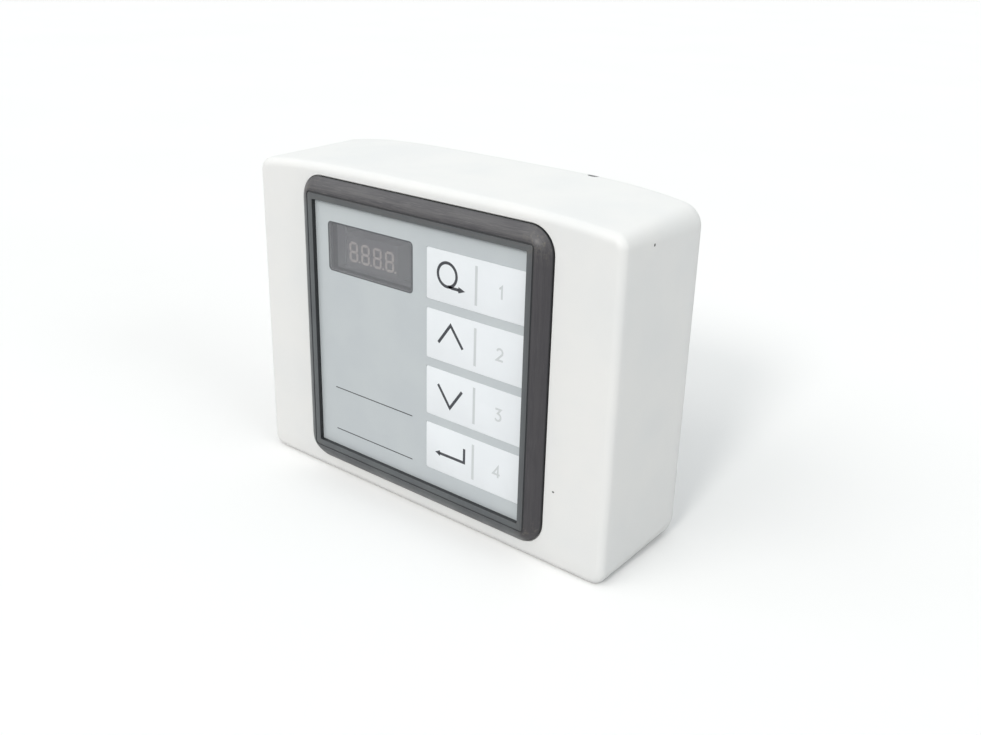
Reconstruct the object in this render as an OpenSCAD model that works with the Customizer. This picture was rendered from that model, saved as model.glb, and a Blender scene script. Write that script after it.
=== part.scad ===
// Desk or bracket mounted operator panel of a price label applicator.
// A deep moulded housing carries a square bezel, a printed key panel with four
// sprung keys, a four digit display, one circuit board and a bolted rear cover.
// Every module is drawn with X to the right, Z up from the resting face, and Y
// counted backwards from the front plane of the bezel rim; centred() then puts
// the origin at the bottom centre of the whole part.

/* [Housing] */
// Width of the housing
housing_w = 171; // [160:1:200]
// Depth of the housing, from its front face to its rear face
housing_d = 52.5; // [48:0.5:70]
// Height of the housing at its front face, measured on the centre line
front_h = 127.3; // [126:0.1:140]
// Height of the housing at its rear face, measured on the centre line
rear_h = 130.8; // [127:0.1:145]
// Fall of the crowned top from the centre line to the sides, at the front
front_crown = 3; // [0:0.5:4]
// Fall of the crowned top from the centre line to the sides, at the rear
rear_crown = 5; // [0:0.5:6]
// Corner radius of the outline at the front face
front_corner_r = 5; // [3.5:0.5:9]
// Corner radius of the outline at the rear face
rear_corner_r = 9; // [8.5:0.5:14]
// Radius of the edges round the front face
front_edge_r = 3; // [1:0.5:3]
// Radius of the edges round the rear face
rear_edge_r = 8; // [6:0.5:8]
// Thickness of the side, top and bottom walls
side_wall = 5.5; // [5:0.5:6]
// Thickness of the front wall
front_wall = 4; // [3:0.5:5]

/* [Bezel] */
// Width of the bezel aperture
aperture_w = 102.2; // [100:0.1:104]
// Height of the bezel aperture
aperture_h = 99.9; // [98:0.1:102]
// Height of the aperture's lower edge above the resting face
aperture_z = 14.4; // [14:0.1:18]
// Width of the bezel face all round the aperture
bezel_margin = 8.2; // [7.5:0.1:9]
// Height of the bezel rim above the housing face
bezel_proud = 3.8; // [3:0.1:5]
// Width of the flat lip next to the aperture
lip_w = 2.3; // [1.5:0.1:3]
// Depth of the key panel below the bezel rim
panel_recess = 1.8; // [1.2:0.1:2.4]

/* [Keys] */
// Width of a key
key_w = 44.7; // [40:0.1:44.8]
// Height of a key
key_h = 18.7; // [14:0.1:20]
// Distance from one key to the next
key_pitch = 22.3; // [21:0.1:23]
// Height of the lowest key above the aperture's lower edge
key_low = 6.8; // [5:0.1:8]
// Travel of a key
key_travel = 0.5; // [0.3:0.05:0.6]
// Gap all round a key
key_gap = 0.15; // [0.1:0.05:0.3]

/* [Display] */
// Width of the display window
window_w = 43.2; // [40:0.1:46]
// Height of the display window
window_h = 18.7; // [16:0.1:20]
// Distance from the aperture's left edge to the window
window_x = 7; // [5:0.1:9]
// Height of a digit
digit_h = 7.8; // [6:0.1:9]
// Distance from one digit to the next
digit_pitch = 6.25; // [6:0.05:6.6]

/* [Mounting] */
// Spacing of the rear mounting inserts across the cover
mount_w = 100; // [80:1:110]
// Spacing of the rear mounting inserts up the cover
mount_h = 60; // [50:1:64]
// Bore radius of a mounting insert, the core of an M5 thread
mount_r = 2.1; // [2.05:0.05:2.2]
// Radius of the connector's outer thread
connector_r = 9; // [8.5:0.5:10]

/* [Hidden] */
$fn = 48;

// Depths, counted backwards from the bezel rim
face_d = bezel_proud;
wall_d = face_d + front_wall;
rear_d = face_d + housing_d;
cover_t = 4;
gasket_t = 1;
cover_d = rear_d - cover_t;
ledge_d = cover_d - gasket_t;
film_t = 0.6;
spacer_t = 0.4;
spacer_d = panel_recess + film_t;
carrier_d = spacer_d + spacer_t;
chassis_t = 1.2;
chassis_rear = wall_d + chassis_t;
board_t = 1.6;
board_d = chassis_rear + 4.5;
board_rear = board_d + board_t;
connector_out = 9;
total_depth = rear_d + connector_out;

// Thickness of the slices that the blended forms are drawn through
skin = 0.01;

// Panel outline
aperture_cz = aperture_z + aperture_h / 2;
rebate = 1.2;
spigot = 5;
bezel_corner_r = bezel_margin + 1.2;
groove_w = 0.6;
groove_d = 0.4;

// Keys, counted from the top of the column
KEYS = ["feed", "up", "down", "enter"];
key_t = 0.7;
key_emboss = 0.1;
key_cx = aperture_w / 2 - key_gap - key_w / 2;
function key_z(i) = aperture_z + key_low + key_h / 2 + (len(KEYS) - 1 - i) * key_pitch;
key_rear = panel_recess - key_emboss + key_t;
pocket_d = key_rear + key_travel + 0.6;
plunger_r = 1.7;
switch_front = chassis_rear + 0.5;

// Display
window_cx = -aperture_w / 2 + window_x + window_w / 2;
window_cz = key_z(0) - 0.1;
window_t = 2;
window_r = 0.9;
digits_cx = window_cx - 2;
digits_cz = window_cz - 1.3;
digit_w = 4.4;
module_face = carrier_d + 2.2;
socket_d = board_d - 1.5;

// Rear cover
cover_inset = 3.5;
post_r = 5.5;
post_x = housing_w / 2 - side_wall - 6;
post_low = side_wall + 6;
post_high = front_h - side_wall - 8.5;
connector_z = 26;

// Header, plug and flat cable between the board and the connector
header_z = 44;
plug_d = board_rear + 9;
ribbon_start = plug_d + 4;
ribbon_t = 1.2;
ribbon_steps = 16;
tail_d = cover_d - 13;

// Moves a module from the rim plane to the part's own frame
module centred() {
    translate([0, -total_depth / 2, 0]) children();
}

// Rounded rectangle with true arcs at its corners
module rounded(w, h, r) {
    if (r > 0) {
        square([w - 2 * r, h], center = true);
        square([w, h - 2 * r], center = true);
        for (sx = [-1, 1], sz = [-1, 1])
            translate([sx * (w / 2 - r), sz * (h / 2 - r)]) circle(r);
    } else {
        square([w, h], center = true);
    }
}

// A flat shape in the X-Z plane, filled from depth d0 to depth d1
module slab(d0, d1, cx = 0, cz = 0) {
    translate([cx, d1, cz]) rotate([90, 0, 0]) linear_extrude(d1 - d0) children();
}

// A round bar along Y from depth d0 to depth d1
module bar(r, d0, d1, cx = 0, cz = 0) {
    translate([cx, d1, cz]) rotate([90, 0, 0]) cylinder(r = r, h = d1 - d0);
}

// A rectangular block from depth d0 to depth d1
module block(w, h, d0, d1, cx = 0, cz = 0) {
    slab(d0, d1, cx, cz) square([w, h], center = true);
}

// Outline of the housing at a fraction of its depth, drawn in by an inset
function mix(a, b, t) = a + (b - a) * t;
function crown_drop(x, half, fall) = fall * pow(abs(x) / half, 4);
function corner(cx, cz, r, from, steps = 7) =
    [for (k = [0:steps]) let (a = from + 90 * k / steps) [cx + r * cos(a), cz + r * sin(a)]];
function outline(t, inset) =
    let (half = housing_w / 2 - inset,
         r = max(mix(front_corner_r, rear_corner_r, t) - inset, 1),
         top = mix(front_h, rear_h, t) - inset,
         fall = mix(front_crown, rear_crown, t),
         side_top = top - crown_drop(half - r, half, fall) - r)
    concat(
        corner(half - r, side_top, r, 0),
        [for (k = [1:15]) let (x = (half - r) * (1 - k / 8)) [x, top - crown_drop(x, half, fall)]],
        corner(-half + r, side_top, r, 90),
        corner(-half + r, inset + r, r, 180),
        corner(half - r, inset + r, r, 270));

// Thin slice of the housing's form, filled backwards from a depth
module slice(d, inset) {
    slab(d, d + skin) polygon(outline((d - face_d) / housing_d, inset));
}

// Solid outer form of the housing, with its rounded front and rear edges
module outer_form() {
    hull() {
        for (a = [0:18:90]) slice(face_d + front_edge_r * (1 - sin(a)), front_edge_r * (1 - cos(a)));
        for (a = [0:15:90])
            slice(rear_d - skin - rear_edge_r * (1 - sin(a)), rear_edge_r * (1 - cos(a)));
    }
}

// Straight walled solid that follows the outline at one inset
module core(d0, d1, inset) {
    hull() {
        slice(d0, inset);
        slice(d1 - skin, inset);
    }
}

// Repeats a shape at the four cover screw posts
module at_posts() {
    for (sx = [-1, 1], z = [post_low, post_high]) translate([sx * post_x, 0, z]) children();
}

// Repeats a shape at the four mounting inserts
module at_mounts() {
    for (sx = [-1, 1], sz = [-1, 1])
        translate([sx * mount_w / 2, 0, aperture_cz + sz * mount_h / 2]) children();
}

// Repeats a shape at the six screws that pull the bezel on to the chassis plate
module at_chassis_screws() {
    for (sx = [-1, 1], k = [-1:1])
        translate([sx * (aperture_w / 2 + 3.1), 0, aperture_cz + k * 38]) children();
}

// Repeats a shape at the four circuit board fixings
module at_board_fixings() {
    for (sx = [-1, 1], sz = [-1, 1]) translate([sx * 47.5, 0, aperture_cz + sz * 45.5]) children();
}

module housing() {
    color("#eceded") centred() difference() {
        union() {
            difference() {
                outer_form();
                core(wall_d, ledge_d + 1, side_wall);
                core(ledge_d, rear_d + 1, cover_inset);
            }
            at_posts() bar(post_r, wall_d - 0.5, cover_d);
        }
        slab(face_d - 1, wall_d + 1, 0, aperture_cz)
            rounded(aperture_w + 2 * spigot + 0.2, aperture_h + 2 * spigot + 0.2, 4.6);
        at_posts() bar(2.8, cover_d - 9, cover_d + 1);
        at_posts() bar(2.2, cover_d - 12, cover_d - 8);
    }
}

module rear_cover() {
    color("#e6e8e7") centred() difference() {
        union() {
            intersection() {
                outer_form();
                core(cover_d, rear_d + 1, cover_inset + 0.25);
            }
            at_mounts() bar(6.2, cover_d - 5, cover_d + 0.5);
        }
        at_posts() bar(2.2, cover_d - 1, rear_d + 1);
        at_posts() bar(4.3, rear_d - 2.2, rear_d + 1);
        at_mounts() bar(3.4, cover_d - 6, rear_d + 1);
        bar(8, cover_d - 1, rear_d + 1, 0, connector_z);
    }
}

module cover_gasket() {
    color("#3a3c3d") centred() difference() {
        core(ledge_d, cover_d - 0.02, cover_inset + 0.3);
        core(ledge_d - 1, cover_d + 1, side_wall - 0.1);
    }
}

module cover_inserts() {
    color("#c9a45c") centred() at_posts() difference() {
        bar(2.8, cover_d - 8, cover_d);
        bar(1.95, cover_d - 9, cover_d + 1);
    }
}

module cover_screws() {
    color("#b9bcbe") centred() at_posts() difference() {
        union() {
            bar(1.9, cover_d - 7, rear_d - 1.5);
            bar(3.8, rear_d - 2.2, rear_d);
        }
        for (turn = [0, 90])
            translate([0, rear_d - 0.4, 0]) rotate([0, turn, 0]) cube([4.4, 2.6, 0.9], center = true);
    }
}

module mount_inserts() {
    color("#c9a45c") centred() at_mounts() difference() {
        bar(3.4, cover_d - 5, rear_d);
        bar(mount_r, cover_d - 6, rear_d + 1);
    }
}

// One layer of the bezel's sloping outer band
module bezel_layer(height, inset) {
    slab(face_d - height, face_d - height + skin, 0, aperture_cz)
        rounded(aperture_w + 2 * (bezel_margin - inset), aperture_h + 2 * (bezel_margin - inset),
                bezel_corner_r - 1.3 * inset, $fn = 48);
}

module bezel_frame() {
    band = bezel_margin - lip_w;
    rise = bezel_proud - 0.1;
    color("#4b4d50") centred() difference() {
        union() {
            hull() {
                bezel_layer(skin, 0.15);
                for (a = [0:15:90])
                    bezel_layer(0.4 + (rise - 0.4) * sin(a), band * 0.98 * a / 90);
            }
            block(aperture_w + 2 * lip_w, aperture_h + 2 * lip_w, 0, face_d, 0, aperture_cz);
            slab(face_d - 0.5, wall_d, 0, aperture_cz)
                rounded(aperture_w + 2 * spigot, aperture_h + 2 * spigot, 4.5);
        }
        block(aperture_w, aperture_h, -1, wall_d + 1, 0, aperture_cz);
        block(aperture_w + 2 * rebate, aperture_h + 2 * rebate, panel_recess, wall_d + 1, 0, aperture_cz);
        difference() {
            block(aperture_w + 2 * (lip_w + groove_w), aperture_h + 2 * (lip_w + groove_w),
                  -1, groove_d, 0, aperture_cz);
            block(aperture_w + 2 * lip_w, aperture_h + 2 * lip_w, -2, 1, 0, aperture_cz);
        }
        at_chassis_screws() bar(0.9, wall_d - 4, wall_d + 1);
    }
}

// The key and window openings that the films and the carrier share
module panel_openings(d0, d1, grow) {
    for (i = [0:len(KEYS) - 1])
        block(key_w + 2 * grow, key_h + 2 * grow, d0, d1, key_cx, key_z(i));
}

module graphic_overlay() {
    color("#bfc5c8") centred() difference() {
        block(aperture_w + 2 * rebate - 0.2, aperture_h + 2 * rebate - 0.2,
              panel_recess, spacer_d, 0, aperture_cz);
        panel_openings(panel_recess - 1, spacer_d + 1, key_gap);
        slab(panel_recess - 1, spacer_d + 1, window_cx, window_cz)
            rounded(window_w + 0.1, window_h + 0.1, window_r + 0.05);
    }
}

module spacer_film() {
    color("#d8d9d2") centred() difference() {
        block(aperture_w + 2 * rebate - 0.2, aperture_h + 2 * rebate - 0.2,
              spacer_d, carrier_d, 0, aperture_cz);
        panel_openings(spacer_d - 1, carrier_d + 1, key_gap);
        slab(spacer_d - 1, carrier_d + 1, window_cx, window_cz)
            rounded(window_w + 0.1, window_h + 0.1, window_r + 0.05);
    }
}

module display_window() {
    color([0.3, 0.31, 0.33, 0.6]) centred()
        slab(panel_recess, panel_recess + window_t, window_cx, window_cz)
            rounded(window_w - 0.1, window_h - 0.1, window_r);
}

module keypad_carrier() {
    color("#2b2d2f") centred() difference() {
        block(aperture_w + 2 * rebate - 0.2, aperture_h + 2 * rebate - 0.2,
              carrier_d, wall_d, 0, aperture_cz);
        panel_openings(carrier_d - 1, pocket_d, 0.3);
        for (i = [0:len(KEYS) - 1]) bar(plunger_r + 0.5, 0, wall_d + 1, key_cx, key_z(i));
        slab(carrier_d - 1, panel_recess + window_t, window_cx, window_cz)
            rounded(window_w + 0.1, window_h + 0.1, window_r + 0.05);
        block(38, 16.5, 0, wall_d + 1, window_cx, window_cz);
    }
}

module key_pad(i) {
    color("#e9eaea") centred()
        slab(panel_recess - key_emboss, key_rear, key_cx, key_z(i)) rounded(key_w, key_h, 0.6);
}

module plunger(i) {
    color("#8d1f1d") centred() {
        bar(3, key_rear, key_rear + 0.5, key_cx, key_z(i));
        bar(plunger_r, key_rear + 0.25, switch_front + 1.2, key_cx, key_z(i));
    }
}

module switch_body(i) {
    color("#1f2022") centred() {
        difference() {
            slab(switch_front, board_d, key_cx, key_z(i)) rounded(6, 6, 0.4);
            bar(plunger_r + 0.05, switch_front - 1, switch_front + 2.2, key_cx, key_z(i));
        }
        for (sx = [-1, 1], sz = [-1, 1])
            block(0.9, 0.7, board_d - 0.6, board_d, key_cx + sx * 3.4, key_z(i) + sz * 2.2);
    }
}

module chassis_plate() {
    color("#b6babd") centred() difference() {
        slab(wall_d, chassis_rear, 0, aperture_cz) rounded(132, 108, 3);
        at_chassis_screws() bar(1.2, wall_d - 1, chassis_rear + 1);
        for (i = [0:len(KEYS) - 1]) bar(2.4, wall_d - 1, chassis_rear + 1, key_cx, key_z(i));
        block(34, 15.5, wall_d - 1, chassis_rear + 1, digits_cx, digits_cz);
    }
}

module chassis_screws() {
    color("#8f9294") centred() at_chassis_screws() {
        bar(0.9, wall_d - 3.5, chassis_rear);
        difference() {
            bar(1.9, chassis_rear, chassis_rear + 1.3);
            block(3, 0.5, chassis_rear + 0.8, chassis_rear + 2);
        }
    }
}

module board_standoffs() {
    color("#c8cbcd") centred() at_board_fixings() difference() {
        translate([0, board_d, 0]) rotate([90, 0, 0]) cylinder(r = 2.9, h = board_d - chassis_rear, $fn = 6);
        bar(1.25, chassis_rear - 1, board_d + 1);
    }
}

module board_screws() {
    color("#b9bcbe") centred() at_board_fixings() {
        bar(1.25, board_d - 3.5, board_rear);
        difference() {
            bar(2.7, board_rear, board_rear + 1.8);
            block(4.4, 0.7, board_rear + 1.1, board_rear + 3);
        }
    }
}

module circuit_board() {
    color("#2f6b45") centred() difference() {
        slab(board_d, board_rear, 0, aperture_cz) rounded(104, 100, 2);
        at_board_fixings() bar(1.6, board_d - 1, board_rear + 1);
    }
}

module display_socket() {
    color("#17181a") centred() difference() {
        block(27, 13, socket_d, board_d, digits_cx, digits_cz);
        block(23, 5.5, socket_d - 1, board_d + 1, digits_cx, digits_cz);
    }
}

module display_module() {
    color("#3b3034") centred() block(27, 13, module_face, socket_d, digits_cx, digits_cz);
}

// One bar of a digit, with pointed ends
module segment(length, turn) {
    t = 0.45;
    rotate(turn) polygon([
        [-length / 2, 0], [-length / 2 + t, t], [length / 2 - t, t],
        [length / 2, 0], [length / 2 - t, -t], [-length / 2 + t, -t]]);
}

// A seven segment digit with its decimal point, counted from the left
module digit(i) {
    half_h = digit_h / 2 - 0.45;
    half_w = digit_w / 2 - 0.45;
    long = half_h - 0.3;
    color("#b9a9a6") centred()
        slab(module_face - 0.3, module_face, digits_cx + (i - 1.5) * digit_pitch, digits_cz) {
            for (z = [-half_h, 0, half_h]) translate([0, z]) segment(2 * half_w - 0.3, 0);
            for (sx = [-1, 1], sz = [-1, 1])
                translate([sx * half_w, sz * half_h / 2]) segment(long, 90);
            translate([digit_w / 2 + 0.75, -half_h]) circle(0.4);
        }
}

// A dual in-line package with its legs, on the rear of the board
module package(w, h, t, legs, cx, cz) {
    difference() {
        block(w, h, board_rear + 0.5, board_rear + 0.5 + t, cx, cz);
        bar(1, board_rear + t, board_rear + t + 2, cx - w / 2, cz);
    }
    for (k = [0:legs - 1], sz = [-1, 1])
        block(0.6, 1, board_rear, board_rear + 0.5 + t / 2,
              cx + (k - (legs - 1) / 2) * 2.54, cz + sz * (h / 2 + 0.4));
}

module microcontroller() {
    color("#202124") centred() package(36, 13.5, 3.8, 14, -20, aperture_cz + 14);
}

module display_driver() {
    color("#202124") centred() package(23, 6.4, 3.3, 9, -18, aperture_cz + 34);
}

module crystal() {
    color("#c9ccce") centred() slab(board_rear, board_rear + 3.6, 12, aperture_cz + 14) rounded(11, 4.6, 2.29);
}

module capacitor() {
    color("#29447a") centred() bar(5, board_rear, board_rear + 12.5, 34, aperture_cz + 30);
}

module voltage_regulator() {
    color("#2a2b2d") centred() {
        block(10, 8.6, board_rear + 1, board_rear + 5.4, 34, aperture_cz + 6);
        difference() {
            block(10, 15.2, board_rear, board_rear + 1.3, 34, aperture_cz + 8);
            bar(1.9, board_rear - 1, board_rear + 2, 34, aperture_cz + 13);
        }
    }
}

module board_header() {
    color("#6d7073") centred() difference() {
        block(20, 8.5, board_rear, plug_d, 0, header_z);
        block(17.6, 6.3, board_rear + 2, plug_d + 1, 0, header_z);
    }
}

module ribbon_plug() {
    color("#28292b") centred() {
        block(17.2, 5.9, board_rear + 2, plug_d, 0, header_z);
        block(17.2, 5.9, plug_d, plug_d + 4, 0, header_z);
    }
}

// The flat cable's centre line falls from the plug to the connector in an S
function ribbon_at(t) = [mix(ribbon_start, tail_d, t), mix(header_z, connector_z, t * t * (3 - 2 * t))];
function ribbon_side(side) = [
    for (k = [0:ribbon_steps])
        let (t = k / ribbon_steps,
             run = tail_d - ribbon_start,
             slope = (connector_z - header_z) * 6 * t * (1 - t),
             n = [-slope, run] / norm([slope, run]))
        ribbon_at(t) + side * ribbon_t / 2 * n];

module ribbon_cable() {
    color("#9aa0a4") centred()
        translate([-6.5, 0, 0]) rotate([90, 0, 90]) linear_extrude(13)
            polygon(concat(ribbon_side(1), [for (k = [ribbon_steps:-1:0]) ribbon_side(-1)[k]]));
}

// Places of the connector's seven contacts
module at_contacts() {
    translate([0, 0, connector_z]) children();
    for (a = [0:60:300]) translate([4 * cos(a), 0, connector_z + 4 * sin(a)]) children();
}

module connector_shell() {
    color("#c3c6c8") centred() difference() {
        union() {
            bar(7.9, cover_d - 9, rear_d + 1, 0, connector_z);
            bar(11, rear_d, rear_d + 2.2, 0, connector_z);
            bar(connector_r, rear_d + 2, rear_d + connector_out, 0, connector_z);
        }
        bar(6.5, cover_d - 10, rear_d + connector_out + 1, 0, connector_z);
        translate([0, rear_d, connector_z]) rotate([90, 0, 0])
            rotate_extrude() translate([9.3, 0]) square([1.3, 1.8], center = true);
    }
}

module connector_insert() {
    color("#26282a") centred() difference() {
        bar(6.5, cover_d - 9, rear_d + connector_out - 0.8, 0, connector_z);
        at_contacts() bar(0.8, cover_d - 10, rear_d + connector_out);
    }
}

module connector_contacts() {
    color("#c9a45c") centred() at_contacts() difference() {
        bar(0.8, tail_d, rear_d + connector_out - 1, 0, 0);
        bar(0.45, rear_d + connector_out - 7, rear_d + connector_out, 0, 0);
    }
}

module connector_nut() {
    color("#b2b6b9") centred() difference() {
        translate([0, cover_d - 0.02, connector_z]) rotate([90, 0, 0]) cylinder(r = 11.5, h = 3, $fn = 6);
        bar(7.9, cover_d - 4, cover_d + 1, 0, connector_z);
    }
}

module connector_seal() {
    color("#222426") centred() translate([0, rear_d + 0.45, connector_z]) rotate([90, 0, 0])
        rotate_extrude() translate([9.3, 0]) circle(0.44);
}

housing();
rear_cover();
cover_gasket();
cover_inserts();
cover_screws();
mount_inserts();
bezel_frame();
graphic_overlay();
spacer_film();
display_window();
keypad_carrier();
for (i = [0:len(KEYS) - 1]) {
    key_pad(i);
    plunger(i);
    switch_body(i);
}
chassis_plate();
chassis_screws();
board_standoffs();
board_screws();
circuit_board();
display_socket();
display_module();
for (i = [0:3])
    digit(i);
microcontroller();
display_driver();
crystal();
capacitor();
voltage_regulator();
board_header();
ribbon_plug();
ribbon_cable();
connector_shell();
connector_insert();
connector_contacts();
connector_nut();
connector_seal();
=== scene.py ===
"""Looks of a label applicator's operator panel, built round its packed construction.

A deep pale housing holds a charcoal bezel, a printed key panel with four sprung keys and a four digit
display. A bolted cover with a round connector closes the rear. Every length is in metres.
"""

import logging
import math
from dataclasses import dataclass, field
from enum import Enum
from typing import Any, Iterable, Sequence

import bmesh
import bpy
from mathutils import Matrix, Vector


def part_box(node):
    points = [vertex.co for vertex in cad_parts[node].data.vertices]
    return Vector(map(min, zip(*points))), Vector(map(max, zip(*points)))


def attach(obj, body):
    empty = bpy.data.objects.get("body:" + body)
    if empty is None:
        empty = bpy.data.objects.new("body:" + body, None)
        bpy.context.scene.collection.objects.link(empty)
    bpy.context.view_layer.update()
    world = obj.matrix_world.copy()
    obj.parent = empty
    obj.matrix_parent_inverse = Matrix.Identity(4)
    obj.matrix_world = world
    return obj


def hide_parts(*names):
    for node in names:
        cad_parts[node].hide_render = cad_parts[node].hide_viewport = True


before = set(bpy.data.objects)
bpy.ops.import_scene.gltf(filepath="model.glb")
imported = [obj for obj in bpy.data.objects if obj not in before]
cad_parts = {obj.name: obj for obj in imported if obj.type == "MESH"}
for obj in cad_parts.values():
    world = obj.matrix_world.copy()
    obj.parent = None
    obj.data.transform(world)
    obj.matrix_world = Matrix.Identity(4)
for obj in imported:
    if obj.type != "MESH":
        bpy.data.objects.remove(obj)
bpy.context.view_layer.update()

LOG = logging.getLogger("operator_panel")
MM = 0.001
ROOT = "panel"

Colour = tuple[float, float, float, float]
Point = tuple[float, float]
Ring = list[Vector]


def tone(red: int, green: int, blue: int) -> Colour:
    """Turns a display colour into a linear one.

    Args:
        red: Red from 0 to 255.
        green: Green from 0 to 255.
        blue: Blue from 0 to 255.

    Returns:
        The linear colour with full alpha.
    """
    def linear(channel: int) -> float:
        """Linear value of one channel."""
        share = channel / 255
        return share / 12.92 if share <= 0.04045 else ((share + 0.055) / 1.055) ** 2.4

    return (linear(red), linear(green), linear(blue), 1.0)


def mix(first: float, second: float, share: float) -> float:
    """Value part of the way from first to second."""
    return first + (second - first) * share


# ---------------------------------------------------------------- materials


class Graph:
    """Adds nodes to one tree and links them."""

    def __init__(self, tree: bpy.types.NodeTree) -> None:
        """Keeps the tree to draw in."""
        self.tree = tree

    def node(self, kind: str, inputs: dict | None = None, **settings: Any) -> bpy.types.Node:
        """Adds a node.

        Args:
            kind: The node's type name.
            inputs: Value or socket for each input, by its name or number.
            **settings: Properties of the node itself.

        Returns:
            The new node.
        """
        made = self.tree.nodes.new(kind)
        for key, value in settings.items():
            setattr(made, key, value)
        for key, value in (inputs or {}).items():
            if isinstance(value, bpy.types.NodeSocket):
                self.tree.links.new(value, made.inputs[key])
            else:
                made.inputs[key].default_value = value
        return made

    def math(self, operation: str, *values: Any) -> bpy.types.NodeSocket:
        """Result socket of a math node on these values or sockets."""
        return self.node("ShaderNodeMath", dict(enumerate(values)), operation=operation).outputs[0]

    def blend(self, share: Any, first: Any, second: Any) -> bpy.types.NodeSocket:
        """Colour socket part of the way from first to second."""
        made = self.node("ShaderNodeMix", {0: share, 6: first, 7: second}, data_type="RGBA")
        return made.outputs[2]

    def ramp(self, value: Any, low: float, high: float) -> bpy.types.NodeSocket:
        """Socket that rises smoothly from 0 to 1 as value goes from low to high."""
        made = self.node("ShaderNodeMapRange", {0: value, 1: low, 2: high}, interpolation_type="SMOOTHSTEP")
        return made.outputs[0]

    def noise(self, vector: Any, scale: Any, detail: float = 3.0, roughness: float = 0.55) -> bpy.types.NodeSocket:
        """Factor socket of a noise texture."""
        inputs = {"Vector": vector, "Scale": scale, "Detail": detail, "Roughness": roughness}
        return self.node("ShaderNodeTexNoise", inputs).outputs[0]


class Effect(Enum):
    """Surface effects that several finishes share, each one node group."""

    GRAIN = "moulding_grain"
    STREAKS = "handling_streaks"
    SPECKS = "dust_specks"
    CHIP = "knocked_chip"

    def inputs(self) -> dict[str, tuple[str, float | tuple]]:
        """Named inputs of the group, with their kind and default."""
        vector = {"Vector": ("NodeSocketVector", (0.0, 0.0, 0.0))}
        sizes = {
            Effect.GRAIN: {"Size": ("NodeSocketFloat", 0.3 * MM), "Patch": ("NodeSocketFloat", 14 * MM)},
            Effect.STREAKS: {"Length": ("NodeSocketFloat", 12 * MM), "Width": ("NodeSocketFloat", 0.5 * MM),
                             "Amount": ("NodeSocketFloat", 0.5)},
            Effect.SPECKS: {"Pitch": ("NodeSocketFloat", 6 * MM), "Radius": ("NodeSocketFloat", 0.1),
                            "Share": ("NodeSocketFloat", 0.2)},
            Effect.CHIP: {"Centre": ("NodeSocketVector", (0.0, 0.0, 0.0)),
                          "Reach": ("NodeSocketVector", (MM, MM, MM))},
        }
        return vector | sizes[self]

    def outputs(self) -> tuple[str, ...]:
        """Named outputs of the group."""
        return ("Height", "Mottle") if self is Effect.GRAIN else ("Mask",)

    def tree(self) -> bpy.types.NodeTree:
        """The effect's node group, built on its first use."""
        found = bpy.data.node_groups.get(self.value)
        if found:
            return found
        tree = bpy.data.node_groups.new(self.value, "ShaderNodeTree")
        for name, (kind, default) in self.inputs().items():
            socket = tree.interface.new_socket(name, in_out="INPUT", socket_type=kind)
            socket.default_value = default
        for name in self.outputs():
            tree.interface.new_socket(name, in_out="OUTPUT", socket_type="NodeSocketFloat")
        graph = Graph(tree)
        given = graph.node("NodeGroupInput").outputs
        draw = {Effect.GRAIN: _grain, Effect.STREAKS: _streaks, Effect.SPECKS: _specks, Effect.CHIP: _chip}
        graph.node("NodeGroupOutput", draw[self](graph, given))
        return tree

    def on(self, graph: Graph, **inputs: Any) -> bpy.types.NodeOutputs:
        """Places the group in a material's graph and returns its outputs."""
        made = graph.node("ShaderNodeGroup", node_tree=self.tree())
        for key, value in inputs.items():
            if isinstance(value, bpy.types.NodeSocket):
                graph.tree.links.new(value, made.inputs[key])
            else:
                made.inputs[key].default_value = value
        return made.outputs


def _grain(graph: Graph, given: Any) -> dict:
    """Fine stipple height, and wide soft patches for the colour."""
    fine = graph.noise(given["Vector"], graph.math("DIVIDE", 1.0, given["Size"]), 4.0, 0.6)
    wide = graph.noise(given["Vector"], graph.math("DIVIDE", 1.0, given["Patch"]), 3.0, 0.5)
    return {"Height": fine, "Mottle": graph.ramp(wide, 0.3, 0.7)}


def _streaks(graph: Graph, given: Any) -> dict:
    """Marks drawn out along the first axis of the given vector."""
    size = graph.node("ShaderNodeCombineXYZ", {0: given["Length"], 1: given["Width"], 2: given["Width"]})
    inputs = {0: given["Vector"], 1: size.outputs[0]}
    drawn = graph.node("ShaderNodeVectorMath", inputs, operation="DIVIDE").outputs[0]
    fine = graph.noise(drawn, 1.0, 5.0, 0.62)
    cut = graph.math("SUBTRACT", 0.72, graph.math("MULTIPLY", given["Amount"], 0.3))
    return {"Mask": graph.math("MULTIPLY", graph.ramp(graph.math("SUBTRACT", fine, cut), -0.06, 0.12), 1.0)}


def _specks(graph: Graph, given: Any) -> dict:
    """Small round marks at random places, with only a share of the cells marked."""
    inputs = {"Vector": given["Vector"], "Scale": graph.math("DIVIDE", 1.0, given["Pitch"])}
    cells = graph.node("ShaderNodeTexVoronoi", inputs)
    near = graph.math("LESS_THAN", cells.outputs["Distance"], given["Radius"])
    red = graph.node("ShaderNodeSeparateColor", {0: cells.outputs["Color"]}).outputs[0]
    return {"Mask": graph.math("MULTIPLY", near, graph.math("LESS_THAN", red, given["Share"]))}


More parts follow.
